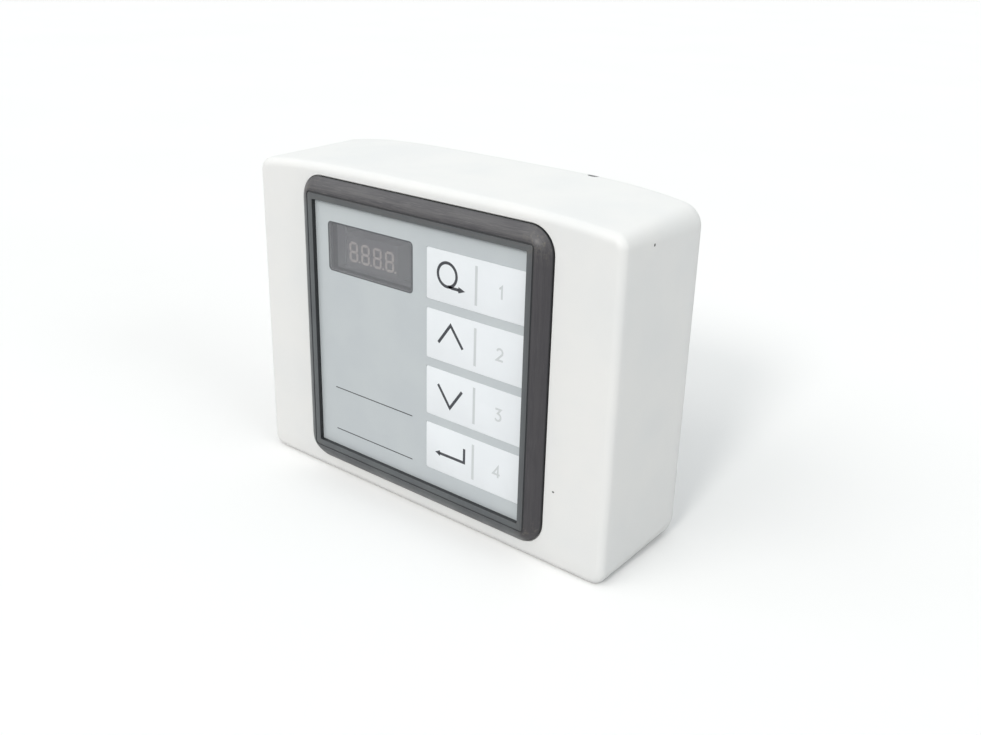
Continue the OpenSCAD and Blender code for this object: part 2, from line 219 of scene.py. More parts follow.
def _chip(graph: Graph, given: Any) -> dict:
    """A ragged oval patch round a centre."""
    away = graph.node("ShaderNodeVectorMath", {0: given["Vector"], 1: given["Centre"]}, operation="SUBTRACT")
    inputs = {0: away.outputs[0], 1: given["Reach"]}
    scaled = graph.node("ShaderNodeVectorMath", inputs, operation="DIVIDE")
    reach = graph.node("ShaderNodeVectorMath", {0: scaled.outputs[0]}, operation="LENGTH").outputs["Value"]
    ragged = graph.math("MULTIPLY_ADD", graph.noise(given["Vector"], 2200.0), 0.9, graph.math("SUBTRACT", reach, 0.45))
    return {"Mask": graph.ramp(graph.math("SUBTRACT", 1.0, ragged), -0.08, 0.12)}


@dataclass(frozen=True)
class Finish:
    """A moulded, sprayed, plated or printed surface.

    Attributes:
        name: Name of the material.
        colour: Main colour.
        shade: Colour of the soft patches in it.
        roughness: Mean roughness.
        spread: How much the roughness changes over the surface.
        grain: Size of the fine stipple.
        relief: Height of the fine stipple.
        patch: Size of the soft patches.
        metallic: Plain metallic value.
        specular: Plain specular level.
        coat: Weight of a clear coat.
        dust: Colour of scattered specks.
        dust_share: Share of the speck cells that hold one.
        scuff: How strongly fine rubs show.
        painted_glow: Strength of a painted glow of its own, on a part that is no lamp.
    """

    name: str
    colour: Colour
    shade: Colour
    roughness: float = 0.5
    spread: float = 0.08
    grain: float = 0.35 * MM
    relief: float = 0.02 * MM
    patch: float = 14 * MM
    metallic: float = 0.0
    specular: float = 0.5
    coat: float = 0.0
    dust: Colour = tone(150, 150, 148)
    dust_share: float = 0.0
    scuff: float = 0.0
    painted_glow: float = 0.0

    @property
    def title(self) -> str:
        """Name of the finish's material."""
        return f"{self.name}_surface"

    def pattern(self, graph: Graph) -> bpy.types.NodeSocket:
        """Coordinates that the surface's pattern is laid out on."""
        return graph.node("ShaderNodeTexCoord").outputs["Object"]

    def worn(self, graph: Graph, vector: Any, colour: Any) -> Any:
        """Adds marks of the finish's own to its colour. A plain finish has none."""
        return colour

    def material(self) -> bpy.types.Material:
        """The finish's material, built on its first use."""
        found = bpy.data.materials.get(self.title)
        if found:
            return found
        made = bpy.data.materials.new(self.title)
        made.use_nodes = True
        made.node_tree.nodes.clear()
        graph = Graph(made.node_tree)
        vector = self.pattern(graph)
        grain = Effect.GRAIN.on(graph, Vector=vector, Size=self.grain, Patch=self.patch)
        colour = graph.blend(grain["Mottle"], self.colour, self.shade)
        rough = graph.math("MULTIPLY_ADD", grain["Mottle"], self.spread, self.roughness - self.spread / 2)
        if self.scuff:
            rub = Effect.STREAKS.on(graph, Vector=vector, Length=9 * MM, Width=0.4 * MM, Amount=0.35)["Mask"]
            lighter = tuple(min(1.0, c * 1.25 + 0.03) for c in self.colour[:3]) + (1.0,)
            colour = graph.blend(graph.math("MULTIPLY", rub, self.scuff), colour, lighter)
            rough = graph.math("MULTIPLY_ADD", rub, 0.12, rough)
        if self.dust_share:
            specks = Effect.SPECKS.on(graph, Vector=vector, Share=self.dust_share)["Mask"]
            colour = graph.blend(graph.math("MULTIPLY", specks, 0.6), colour, self.dust)
        colour = self.worn(graph, vector, colour)
        bump = graph.node("ShaderNodeBump", {"Distance": self.relief, "Height": grain["Height"], "Strength": 1.0})
        shader = graph.node("ShaderNodeBsdfPrincipled", {
            "Base Color": colour, "Roughness": rough, "Normal": bump.outputs[0], "Metallic": self.metallic,
            "Specular IOR Level": self.specular, "Coat Weight": self.coat, "Coat Roughness": 0.12,
            "Emission Color": self.colour, "Emission Strength": self.painted_glow})
        graph.node("ShaderNodeOutputMaterial", {"Surface": shader.outputs[0]})
        return made


@dataclass(frozen=True)
class HousingFinish(Finish):
    """The housing's pale sprayed surface with its few knocks.

    Attributes:
        chips: Centre and reach of each knock, in the row frame.
        chip_colour: Colour of the bare plastic in a knock.
    """

    chips: tuple[tuple[Sequence[float], Sequence[float]], ...] = ()
    chip_colour: Colour = tone(74, 74, 76)

    def worn(self, graph: Graph, vector: Any, colour: Any) -> Any:
        """Adds the knocks, and painted shade low on the sides that darkens in blotches towards the floor."""
        for centre, reach in self.chips:
            mask = Effect.CHIP.on(graph, Vector=vector, Centre=centre, Reach=reach)["Mask"]
            colour = graph.blend(mask, colour, self.chip_colour)
        # Painted shade: the lowest 9 mm darken in blotches towards the floor, where the part stands.
        height = graph.node("ShaderNodeSeparateXYZ", {0: vector}).outputs[2]
        film = graph.math("SUBTRACT", 1.0, graph.ramp(height, 0.0, 9 * MM))
        film = graph.math("MULTIPLY", film, graph.noise(vector, 160.0))
        return graph.blend(graph.math("MULTIPLY", film, 0.35), colour, tone(196, 197, 196))


@dataclass(frozen=True)
class BezelFinish(Finish):
    """The bezel's charcoal plastic, rubbed along its members and most at the top.

    Attributes:
        crest: Colour of the rounded band, partly its own darker tint and partly painted shade, since it is laid fully
            on the right and top members only.
        rubbed: Colour of the rubbed streaks.
        pale: Colour of the worn patches at the corners.
        crevice_shade: Colour of the painted shade in the groove, on the outer foot and on the wall down to the films.
    """

    crest: Colour = tone(58, 56, 60)
    rubbed: Colour = tone(92, 90, 90)
    pale: Colour = tone(102, 98, 90)
    # Painted shade: near-black laid in the groove, on the outer foot and on the wall down to the films.
    crevice_shade: Colour = tone(30, 32, 34)

    def pattern(self, graph: Graph) -> bpy.types.NodeSocket:
        """Length round the frame and across its profile, in metres."""
        return graph.node("ShaderNodeUVMap", uv_map="run").outputs[0]

    def worn(self, graph: Graph, vector: Any, colour: Any) -> Any:
        """Adds the band's tint with its painted shade, long rubbed streaks, pale corners and the painted crevice
        shade.
        """
        band = graph.node("ShaderNodeAttribute", attribute_name="band").outputs["Fac"]
        wear = graph.node("ShaderNodeAttribute", attribute_name="wear").outputs["Fac"]
        corner = graph.node("ShaderNodeAttribute", attribute_name="corner").outputs["Fac"]
        # The band's darker tint, partly painted shade: full on the right and top members, a quarter on the left and
        # bottom.
        colour = graph.blend(band, colour, self.crest)
        long = Effect.STREAKS.on(graph, Vector=vector, Length=26 * MM, Width=1.1 * MM, Amount=0.75)["Mask"]
        fine = Effect.STREAKS.on(graph, Vector=vector, Length=7 * MM, Width=0.3 * MM, Amount=0.62)["Mask"]
        rub = graph.math("MULTIPLY", graph.math("MAXIMUM", graph.math("MULTIPLY", long, 0.62), fine), wear)
        colour = graph.blend(graph.math("MULTIPLY", rub, 0.75), colour, self.rubbed)
        patch = graph.ramp(graph.noise(vector, 420.0, 4.0, 0.65), 0.47, 0.7)
        patch = graph.math("MULTIPLY", patch, corner)
        colour = graph.blend(graph.math("MULTIPLY", patch, 0.6), colour, self.pale)
        # Painted shade in the crevices: the groove, the outer foot and the inner wall go near-black.
        crevice_shade = graph.node("ShaderNodeAttribute", attribute_name="crevice_shade").outputs["Fac"]
        return graph.blend(crevice_shade, colour, self.crevice_shade)


@dataclass(frozen=True)
class LaminateFinish(Finish):
    """Circuit board laminate with tracks under its lacquer.

    Attributes:
        track: Colour of a track under the lacquer.
    """

    track: Colour = tone(72, 148, 98)

    def worn(self, graph: Graph, vector: Any, colour: Any) -> Any:
        """Adds rows of parallel tracks that turn from patch to patch."""
        inputs = {"Vector": vector, "Scale": 1 / (7 * MM)}
        cells = graph.node("ShaderNodeTexVoronoi", inputs, distance="CHEBYCHEV")
        rings = graph.math("PINGPONG", cells.outputs["Distance"], 0.09)
        return graph.blend(graph.math("LESS_THAN", rings, 0.025), colour, self.track)


@dataclass(frozen=True)
class WindowFinish(Finish):
    """Smoked window that lets a share of what is behind it show through.

    Attributes:
        cover: How much of what is behind it the tint hides.
    """

    cover: float = 0.42

    def material(self) -> bpy.types.Material:
        """The window's material, built on its first use."""
        found = bpy.data.materials.get(self.title)
        if found:
            return found
        made = super().material()
        shader = next(n for n in made.node_tree.nodes if n.type == "BSDF_PRINCIPLED")
        shader.inputs["Alpha"].default_value = self.cover
        return made


@dataclass(frozen=True)
class FloorFinish(Finish):
    """White paper in the view that throws a little less light back on the part.

    Attributes:
        thrown: Share of its colour that it throws back.
    """

    thrown: float = 0.78

    def worn(self, graph: Graph, vector: Any, colour: Any) -> Any:
        """Darkens the paper for every ray but the camera's."""
        seen = graph.node("ShaderNodeLightPath").outputs["Is Camera Ray"]
        share = graph.math("MULTIPLY_ADD", seen, 1 - self.thrown, self.thrown)
        return graph.node("ShaderNodeVectorMath", {0: colour, 3: share}, operation="SCALE").outputs[0]


CHIPS = (
    ((41.8 * MM, 16.8 * MM, 129.95 * MM), (2.2 * MM, 1.6 * MM, 1.3 * MM)),
    ((85.5 * MM, -11.6 * MM, 119.0 * MM), (1 * MM, 0.5 * MM, 0.5 * MM)),
    ((63.6 * MM, -28.8 * MM, 30.2 * MM), (0.5 * MM, 1 * MM, 0.35 * MM)),
)
HOUSING = HousingFinish("housing_finish", tone(230, 230, 229), tone(226, 227, 227), 0.46, 0.1, relief=0.012 * MM,
                        patch=30 * MM, chips=CHIPS)
COVER = HousingFinish("cover_finish", tone(224, 225, 224), tone(220, 221, 221), 0.5, 0.1, relief=0.016 * MM,
                      patch=26 * MM, dust_share=0.03)
BEZEL = BezelFinish("bezel_plastic", tone(93, 98, 100), tone(86, 90, 93), 0.42, 0.14, grain=0.25 * MM)
OVERLAY = Finish("overlay_film", tone(191, 197, 200), tone(187, 193, 197), 0.4, 0.08, grain=0.18 * MM,
                 relief=0.004 * MM, patch=22 * MM)
KEY_FILM = Finish("key_film", tone(231, 235, 239), tone(227, 231, 235), 0.38, 0.08, grain=0.18 * MM,
                  relief=0.004 * MM, patch=18 * MM)
DARK_INK = Finish("dark_ink", tone(58, 60, 66), tone(64, 66, 72), 0.45, grain=0.1 * MM, relief=0.002 * MM)
PALE_INK = Finish("pale_ink", tone(203, 207, 209), tone(199, 203, 206), 0.45, grain=0.1 * MM, relief=0.002 * MM)
FRAME_INK = Finish("frame_ink", tone(88, 91, 95), tone(80, 83, 87), 0.45, grain=0.1 * MM, relief=0.002 * MM)
WINDOW = WindowFinish("smoked_window", tone(160, 162, 166), tone(156, 157, 162), 0.14, 0.04, grain=0.6 * MM,
                      relief=0.002 * MM, dust_share=0.02)
SPACER = Finish("spacer_film", tone(214, 215, 208), tone(208, 209, 203), 0.5, grain=0.2 * MM, relief=0.004 * MM)
CARRIER = Finish("carrier_plastic", tone(48, 50, 52), tone(42, 43, 46), 0.5)
PLUNGER = Finish("plunger_plastic", tone(141, 34, 31), tone(128, 28, 26), 0.4, grain=0.15 * MM, relief=0.008 * MM)
BLACK = Finish("black_moulding", tone(36, 37, 40), tone(30, 31, 34), 0.45, grain=0.2 * MM)
DISPLAY_BODY = Finish("display_body", tone(52, 44, 47), tone(46, 39, 42), 0.4, grain=0.2 * MM, relief=0.008 * MM)
# Painted light: the unlit digits glow faintly so that they show through the smoked window.
DIGIT_LENS = Finish("digit_lens", tone(206, 192, 184), tone(198, 184, 178), 0.3, grain=0.15 * MM,
                    relief=0.004 * MM, painted_glow=0.28)
ZINC = Finish("zinc_steel", tone(188, 192, 195), tone(170, 174, 178), 0.34, 0.16, metallic=1.0, scuff=0.3,
              patch=5 * MM)
SCREW_STEEL = Finish("screw_steel", tone(184, 187, 190), tone(150, 153, 157), 0.3, 0.14, grain=0.2 * MM,
                     relief=0.01 * MM, patch=3 * MM, metallic=1.0, scuff=0.5)
CRYSTAL = Finish("crystal_can", tone(201, 204, 206), tone(188, 191, 194), 0.22, metallic=1.0, scuff=0.4)
BRASS = Finish("brass", tone(205, 168, 98), tone(178, 140, 78), 0.32, 0.14, metallic=1.0, scuff=0.3, patch=3 * MM)
NICKEL = Finish("connector_metal", tone(196, 199, 202), tone(172, 175, 179), 0.28, 0.12, grain=0.2 * MM,
                relief=0.006 * MM, patch=5 * MM, metallic=1.0, scuff=0.45)
LAMINATE = LaminateFinish("board_laminate", tone(38, 98, 62), tone(34, 90, 58), 0.3, coat=0.5, relief=0.006 * MM)
SLEEVE = Finish("capacitor_sleeve", tone(40, 68, 120), tone(34, 60, 110), 0.3, relief=0.004 * MM)
RIBBON = Finish("ribbon_grey", tone(154, 160, 164), tone(146, 152, 156), 0.5, relief=0.01 * MM)
RUBBER = Finish("seal_rubber", tone(38, 39, 41), tone(46, 47, 48), 0.75, grain=0.2 * MM, relief=0.02 * MM)


# ---------------------------------------------------------------- mesh helpers


def linked(name: str, mesh: bpy.types.Mesh, finish: Finish | None = None) -> bpy.types.Object:
    """Makes an object of a mesh, with one finish, at the origin.

    Args:
        name: Name of the piece.
        mesh: Its mesh, already in place.
        finish: Its finish, or None where the mesh brings its own material.

    Returns:
        The new object.
    """
    made = bpy.data.objects.new(name, mesh)
    bpy.context.scene.collection.objects.link(made)
    if finish:
        mesh.materials.clear()
        mesh.materials.append(finish.material())
    return made


def smoothed(mesh: bpy.types.Mesh, angle: float = 32.0) -> bpy.types.Mesh:
    """Shades a mesh smooth, with sharp edges where faces meet at more than an angle in degrees."""
    mesh.polygons.foreach_set("use_smooth", [True] * len(mesh.polygons))
    mesh.set_sharp_from_angle(angle=math.radians(angle))
    return mesh


def finished(name: str, work: bmesh.types.BMesh) -> bpy.types.Mesh:
    """Turns a bmesh into a mesh with outward faces and smooth shading, and frees it."""
    bmesh.ops.recalc_face_normals(work, faces=work.faces)
    mesh = bpy.data.meshes.new(name)
    work.to_mesh(mesh)
    work.free()
    return smoothed(mesh)


def arc(centre: Point, radius: float, start: float, end: float, steps: int) -> list[Point]:
    """Points on an arc.

    Args:
        centre: Centre of the arc.
        radius: Radius of the arc.
        start: First angle in degrees.
        end: Last angle in degrees.
        steps: Number of stretches between the points.

    Returns:
        The points, both ends included.
    """
    angles = (math.radians(mix(start, end, k / steps)) for k in range(steps + 1))
    return [(centre[0] + radius * math.cos(a), centre[1] + radius * math.sin(a)) for a in angles]


def skin(work: bmesh.types.BMesh, rings: Sequence[Ring], closed: bool = False,
         capped: bool = True) -> list[list]:
    """Joins closed rings of equal length with quads.

    Args:
        work: The bmesh to draw in.
        rings: The rings in order along the surface.
        closed: Whether the last ring joins the first.
        capped: Whether the two ends are capped, where the rings aren't closed.

    Returns:
        The rows of new vertices, one per ring.
    """
    rows = [[work.verts.new(point) for point in ring] for ring in rings]
    pairs = list(zip(rows, rows[1:] + rows[:1])) if closed else list(zip(rows, rows[1:]))
    for near, far in pairs:
        for k, _ in enumerate(near):
            work.faces.new((near[k - 1], near[k], far[k], far[k - 1]))
    if capped and not closed:
        work.faces.new(rows[0])
        work.faces.new(list(reversed(rows[-1])))
    return rows


def turned(work: bmesh.types.BMesh, centre: Point, profile: Sequence[Point], steps: int = 48) -> None:
    """Adds a solid of revolution about an axis along Y.

    Args:
        work: The bmesh to draw in.
        centre: X and Z of the axis.
        profile: Radius and Y of each point. Radius 0 at both ends makes a closed bar, and otherwise
            the last point joins the first, which makes a tube.
        steps: Number of sides.
    """
    solid = profile[0][0] == 0
    inner = profile[1:-1] if solid else profile
    angles = [2 * math.pi * k / steps for k in range(steps)]
    rings = [[Vector((centre[0] + r * math.cos(a), y, centre[1] + r * math.sin(a))) for a in angles]
             for r, y in inner]
    skin(work, rings, closed=not solid)


def ribbon(work: bmesh.types.BMesh, points: Sequence[Point], width: float, front: float, back: float,
           closed: bool = False) -> None:
    """Adds a thin flat strip along a line in the X-Z plane, with mitred bends.

    Args:
        work: The bmesh to draw in.
        points: The line's points as X and Z.
        width: Width of the strip.
        front: Y of its front face.
        back: Y of its back face.
        closed: Whether the line closes on itself.
    """
    line = [Vector(p) for p in points]
    count = len(line)
    rows = []
    for k, point in enumerate(line):
        before = line[k - 1] if closed or k else None
        after = line[(k + 1) % count] if closed or k < count - 1 else None
        ways = [(point - before).normalized()] if before is not None else []
        ways += [(after - point).normalized()] if after is not None else []
        sides = [Vector((-w.y, w.x)) for w in ways]
        out = sum(sides, Vector((0, 0))).normalized()
        out = out * (width / 2 / max(out.dot(sides[0]), 0.35))
        corners = (point + out, point - out)
        rows.append([work.verts.new((c.x, y, c.y)) for c in corners for y in (front, back)])
    pairs = list(zip(rows, rows[1:])) + ([(rows[-1], rows[0])] if closed else [])
    for near, far in pairs:
        for a, b in ((0, 1), (1, 3), (3, 2), (2, 0)):
            work.faces.new((near[a], near[b], far[b], far[a]))
    if not closed:
        work.faces.new([rows[0][k] for k in (0, 1, 3, 2)])
        work.faces.new([rows[-1][k] for k in (2, 3, 1, 0)])


def plate(work: bmesh.types.BMesh, outline: Sequence[Point], front: float, back: float) -> None:
    """Adds a flat plate in the X-Z plane with this outline between two depths."""
    skin(work, [[Vector((x, y, z)) for x, z in outline] for y in (front, back)])


def place(piece: bpy.types.Object, body: str, nodes: Iterable[str] = ()) -> None:
    """Puts a finished piece on its body.

    Args:
        piece: The piece, in place in the row frame.
        body: The body that it moves with.
        nodes: The nodes that it stands for.
    """
    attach(piece, body)
    if nodes:
        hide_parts(*nodes)
    LOG.info("%s: %d faces, on body %s", piece.name, len(piece.data.polygons), body)


def dress(names: Iterable[str], finish: Finish) -> None:
    """Gives nodes of the frame a finish in their own material slots."""
    for name in names:
        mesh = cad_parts[name].data
        if not mesh.materials:
            mesh.materials.append(None)
        for k, _ in enumerate(mesh.materials):
            mesh.materials[k] = finish.material()
        LOG.info("%s: dressed in %s", name, finish.name)


def combined(piece: bpy.types.Object, tools: Sequence[tuple[bpy.types.Object, str]]) -> bpy.types.Object:
    """Cuts tools out of a piece or joins them on, and removes the tools.

    Args:
        piece: The piece to change.
        tools: Each tool and its operation, DIFFERENCE or UNION.

    Returns:
        The piece, with a plain mesh.
    """
    for tool, operation in tools:
        modifier = piece.modifiers.new(operation.lower(), "BOOLEAN")
        modifier.object = tool
        modifier.operation = operation
        modifier.solver = "EXACT"
    evaluated = piece.evaluated_get(bpy.context.evaluated_depsgraph_get())
    mesh = bpy.data.meshes.new_from_object(evaluated)
    piece.modifiers.clear()
    piece.data = smoothed(mesh)
    for tool, _ in tools:
        bpy.data.objects.remove(tool)
    return piece


# ---------------------------------------------------------------- geometry nodes


class Pattern(Enum):
    """Rules that a piece is repeated or swept by, each one Geometry Nodes tree."""

    GRID = "repeat_on_grid"
    CIRCLE = "repeat_on_circle"
    THREAD = "cut_thread"

    def inputs(self) -> dict[str, tuple[str, Any]]:
        """Named inputs of the tree with their kind and default."""
        real, whole, vector = "NodeSocketFloat", "NodeSocketInt", "NodeSocketVector"
        shared = {"Centre": (vector, (0.0, 0.0, 0.0)), "Material": ("NodeSocketMaterial", None)}
        own = {
            Pattern.GRID: {"Columns": (whole, 2), "Rows": (whole, 2), "Width": (real, 0.1), "Height": (real, 0.1)},
            Pattern.CIRCLE: {"Count": (whole, 6), "Radius": (real, 0.01)},
            Pattern.THREAD: {"Radius": (real, 0.009), "Length": (real, 0.006), "Pitch": (real, 0.001),
                             "Depth": (real, 0.0005)},
        }
        return own[self] | shared

    def tree(self) -> bpy.types.NodeTree:
        """The pattern's tree, built on its first use."""
        found = bpy.data.node_groups.get(self.value)
        if found:
            return found
        tree = bpy.data.node_groups.new(self.value, "GeometryNodeTree")
        tree.interface.new_socket("Geometry", in_out="INPUT", socket_type="NodeSocketGeometry")
        for name, (kind, default) in self.inputs().items():
            socket = tree.interface.new_socket(name, in_out="INPUT", socket_type=kind)
            if default is not None:
                socket.default_value = default
        tree.interface.new_socket("Geometry", in_out="OUTPUT", socket_type="NodeSocketGeometry")
        graph = Graph(tree)
        given = graph.node("NodeGroupInput").outputs
        draw = {Pattern.GRID: _grid, Pattern.CIRCLE: _circle, Pattern.THREAD: _thread}
        shape = draw[self](graph, given)
        upright = graph.node("GeometryNodeTransform", {
            "Geometry": shape, "Translation": given["Centre"]})
        whole = graph.node("GeometryNodeRealizeInstances", {0: upright.outputs[0]})
        coloured = graph.node("GeometryNodeSetMaterial", {"Geometry": whole.outputs[0], "Material": given["Material"]})
        graph.node("NodeGroupOutput", {0: coloured.outputs[0]})
        return tree

    def grow(self, name: str, seed: bpy.types.Mesh, finish: Finish, **inputs: Any) -> bpy.types.Object:
        """Runs the pattern on a mesh.

        Args:
            name: Name of the new piece.
            seed: The mesh to repeat, drawn round the origin with its own Y.
            finish: Finish of the new piece.
            **inputs: Values for the tree's named inputs.

        Returns:
            The new piece as a plain mesh.
        """
        holder = bpy.data.objects.new(name + "_seed", seed)
        bpy.context.scene.collection.objects.link(holder)
        modifier = holder.modifiers.new("pattern", "NODES")
        modifier.node_group = self.tree()
        values = inputs | {"Material": finish.material()}
        for item in self.tree().interface.items_tree:
            if item.in_out == "INPUT" and item.name in values:
                modifier[item.identifier] = values[item.name]
        mesh = bpy.data.meshes.new_from_object(holder.evaluated_get(bpy.context.evaluated_depsgraph_get()))
        bpy.data.objects.remove(holder)
        return linked(name, smoothed(mesh))


QUARTER = math.pi / 2


def _grid(graph: Graph, given: Any) -> Any:
    """Repeats the mesh on an upright grid."""
    inputs = {"Size X": given["Width"], "Size Y": given["Height"], "Vertices X": given["Columns"],
              "Vertices Y": given["Rows"]}
    grid = graph.node("GeometryNodeMeshGrid", inputs)
    upright = graph.node("GeometryNodeTransform", {"Geometry": grid.outputs[0], "Rotation": (QUARTER, 0.0, 0.0)})
    return graph.node("GeometryNodeInstanceOnPoints", {
        "Points": upright.outputs[0], "Instance": given["Geometry"]}).outputs[0]


def _circle(graph: Graph, given: Any) -> Any:
    """Repeats the mesh round an upright circle, each copy turned with it."""
    ring = graph.node("GeometryNodeMeshCircle", {"Vertices": given["Count"], "Radius": given["Radius"]})
    upright = graph.node("GeometryNodeTransform", {"Geometry": ring.outputs[0], "Rotation": (QUARTER, 0.0, 0.0)})
    share = graph.math("DIVIDE", graph.node("GeometryNodeInputIndex").outputs[0], given["Count"])
    turn = graph.node("ShaderNodeCombineXYZ", {1: graph.math("MULTIPLY", share, -2 * math.pi)})
    rotation = graph.node("FunctionNodeEulerToRotation", {0: turn.outputs[0]})
    return graph.node("GeometryNodeInstanceOnPoints", {
        "Points": upright.outputs[0], "Instance": given["Geometry"], "Rotation": rotation.outputs[0]}).outputs[0]


def _thread(graph: Graph, given: Any) -> Any:
    """Sweeps a ridge along a helix that runs backwards from the centre."""
    crest = graph.math("SUBTRACT", given["Radius"], given["Depth"])
    spiral = graph.node("GeometryNodeCurveSpiral", {
        "Resolution": 40, "Rotations": graph.math("DIVIDE", given["Length"], given["Pitch"]),
        "Start Radius": crest, "End Radius": crest, "Height": given["Length"]})
    ridge = graph.node("GeometryNodeCurvePrimitiveCircle", {"Resolution": 6, "Radius": given["Depth"]})
    swept = graph.node("GeometryNodeCurveToMesh", {
        "Curve": spiral.outputs[0], "Profile Curve": ridge.outputs[0], "Fill Caps": True})
    return graph.node("GeometryNodeTransform", {
        "Geometry": swept.outputs[0], "Rotation": (-QUARTER, 0.0, 0.0)}).outputs[0]


# ---------------------------------------------------------------- sub-assemblies


@dataclass(frozen=True)
class HousingForm:
    """Outline that the housing and its cover share, crowned on top and growing towards the rear.

    Attributes:
        width: Overall width.
        face_y: Depth of the front face.
        rear_y: Depth of the rear face.
        front_height: Height at the front face, on the centre line.
        rear_height: Height at the rear face, on the centre line.
        front_crown: Fall of the top to the sides, at the front.
        rear_crown: Fall of the top to the sides, at the rear.
        front_corner: Corner radius of the outline at the front.
        rear_corner: Corner radius of the outline at the rear.
        front_edge: Radius of the edge round the front face.
        rear_edge: Radius of the edge round the rear face.
        corner_steps: Stretches in each corner.
        top_steps: Stretches along the top.
    """

    width: float
    face_y: float
    rear_y: float
    front_height: float = 127.3 * MM
    rear_height: float = 130.76 * MM
    front_crown: float = 3.0 * MM
    rear_crown: float = 5.0 * MM
    front_corner: float = 5.0 * MM
    rear_corner: float = 9.0 * MM
    front_edge: float = 3.0 * MM
    rear_edge: float = 8.0 * MM
    corner_steps: int = 10
    top_steps: int = 36

    @classmethod
    def from_frame(cls) -> "HousingForm":
        """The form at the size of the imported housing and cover."""
        low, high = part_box("housing")
        return cls(width=high.x - low.x, face_y=low.y, rear_y=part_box("rear_cover")[1].y)

    def ring(self, y: float, inset: float) -> Ring:
        """Outline at a depth, drawn in by an inset."""
        share = (y - self.face_y) / (self.rear_y - self.face_y)
        half = self.width / 2 - inset
        radius = max(mix(self.front_corner, self.rear_corner, share) - inset, MM)
        top = mix(self.front_height, self.rear_height, share) - inset
        fall = mix(self.front_crown, self.rear_crown, share)
        flat, tilt = half - radius, 0.0
        for _ in range(4):
            reach = flat + radius * math.sin(tilt)
            tilt = math.atan(4 * fall * reach ** 3 / half ** 4)
        shoulder = top - fall * (reach / half) ** 4 - radius * math.cos(tilt)
        lean, steps = math.degrees(tilt), self.corner_steps
        points = arc((flat, shoulder), radius, 0, 90 - lean, steps)
        crown = [reach * (1 - 2 * k / self.top_steps) for k in range(1, self.top_steps)]
        points += [(x, top - fall * (abs(x) / half) ** 4) for x in crown]
        points += arc((-flat, shoulder), radius, 90 + lean, 180, steps)
        points += arc((-flat, inset + radius), radius, 180, 270, steps)
        points += arc((flat, inset + radius), radius, 270, 360, steps)
        return [Vector((x, y, z)) for x, z in points]

    def square(self, half_w: float, half_h: float, centre_z: float, radius: float, y: float) -> Ring:
        """Rounded rectangle with as many points as the outline, in the same order."""
        flat, rise, steps = half_w - radius, half_h - radius, self.corner_steps
        points = arc((flat, centre_z + rise), radius, 0, 90, steps)
        top = [flat * (1 - 2 * k / self.top_steps) for k in range(1, self.top_steps)]
        points += [(x, centre_z + half_h) for x in top]
        points += arc((-flat, centre_z + rise), radius, 90, 180, steps)
        points += arc((-flat, centre_z - rise), radius, 180, 270, steps)
        points += arc((flat, centre_z - rise), radius, 270, 360, steps)
        return [Vector((x, y, z)) for x, z in points]


@dataclass(frozen=True)
class PanelOpening:
    """The bezel's aperture in the front face.

    Attributes:
        half_w: Half of its width.
        half_h: Half of its height.
        centre_z: Height of its centre.
        rim_y: Depth of the bezel's rim.
        margin: Width of the bezel all round the aperture.
        corner: Outer corner radius of the bezel.
    """

    half_w: float
    half_h: float
    centre_z: float
    rim_y: float
    margin: float = 8.2 * MM
    corner: float = 9.4 * MM

    @classmethod
    def from_frame(cls) -> "PanelOpening":
        """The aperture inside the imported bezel."""
        low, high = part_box("bezel_frame")
        return cls((high.x - low.x) / 2 - cls.margin, (high.z - low.z) / 2 - cls.margin,
                   (low.z + high.z) / 2, low.y)


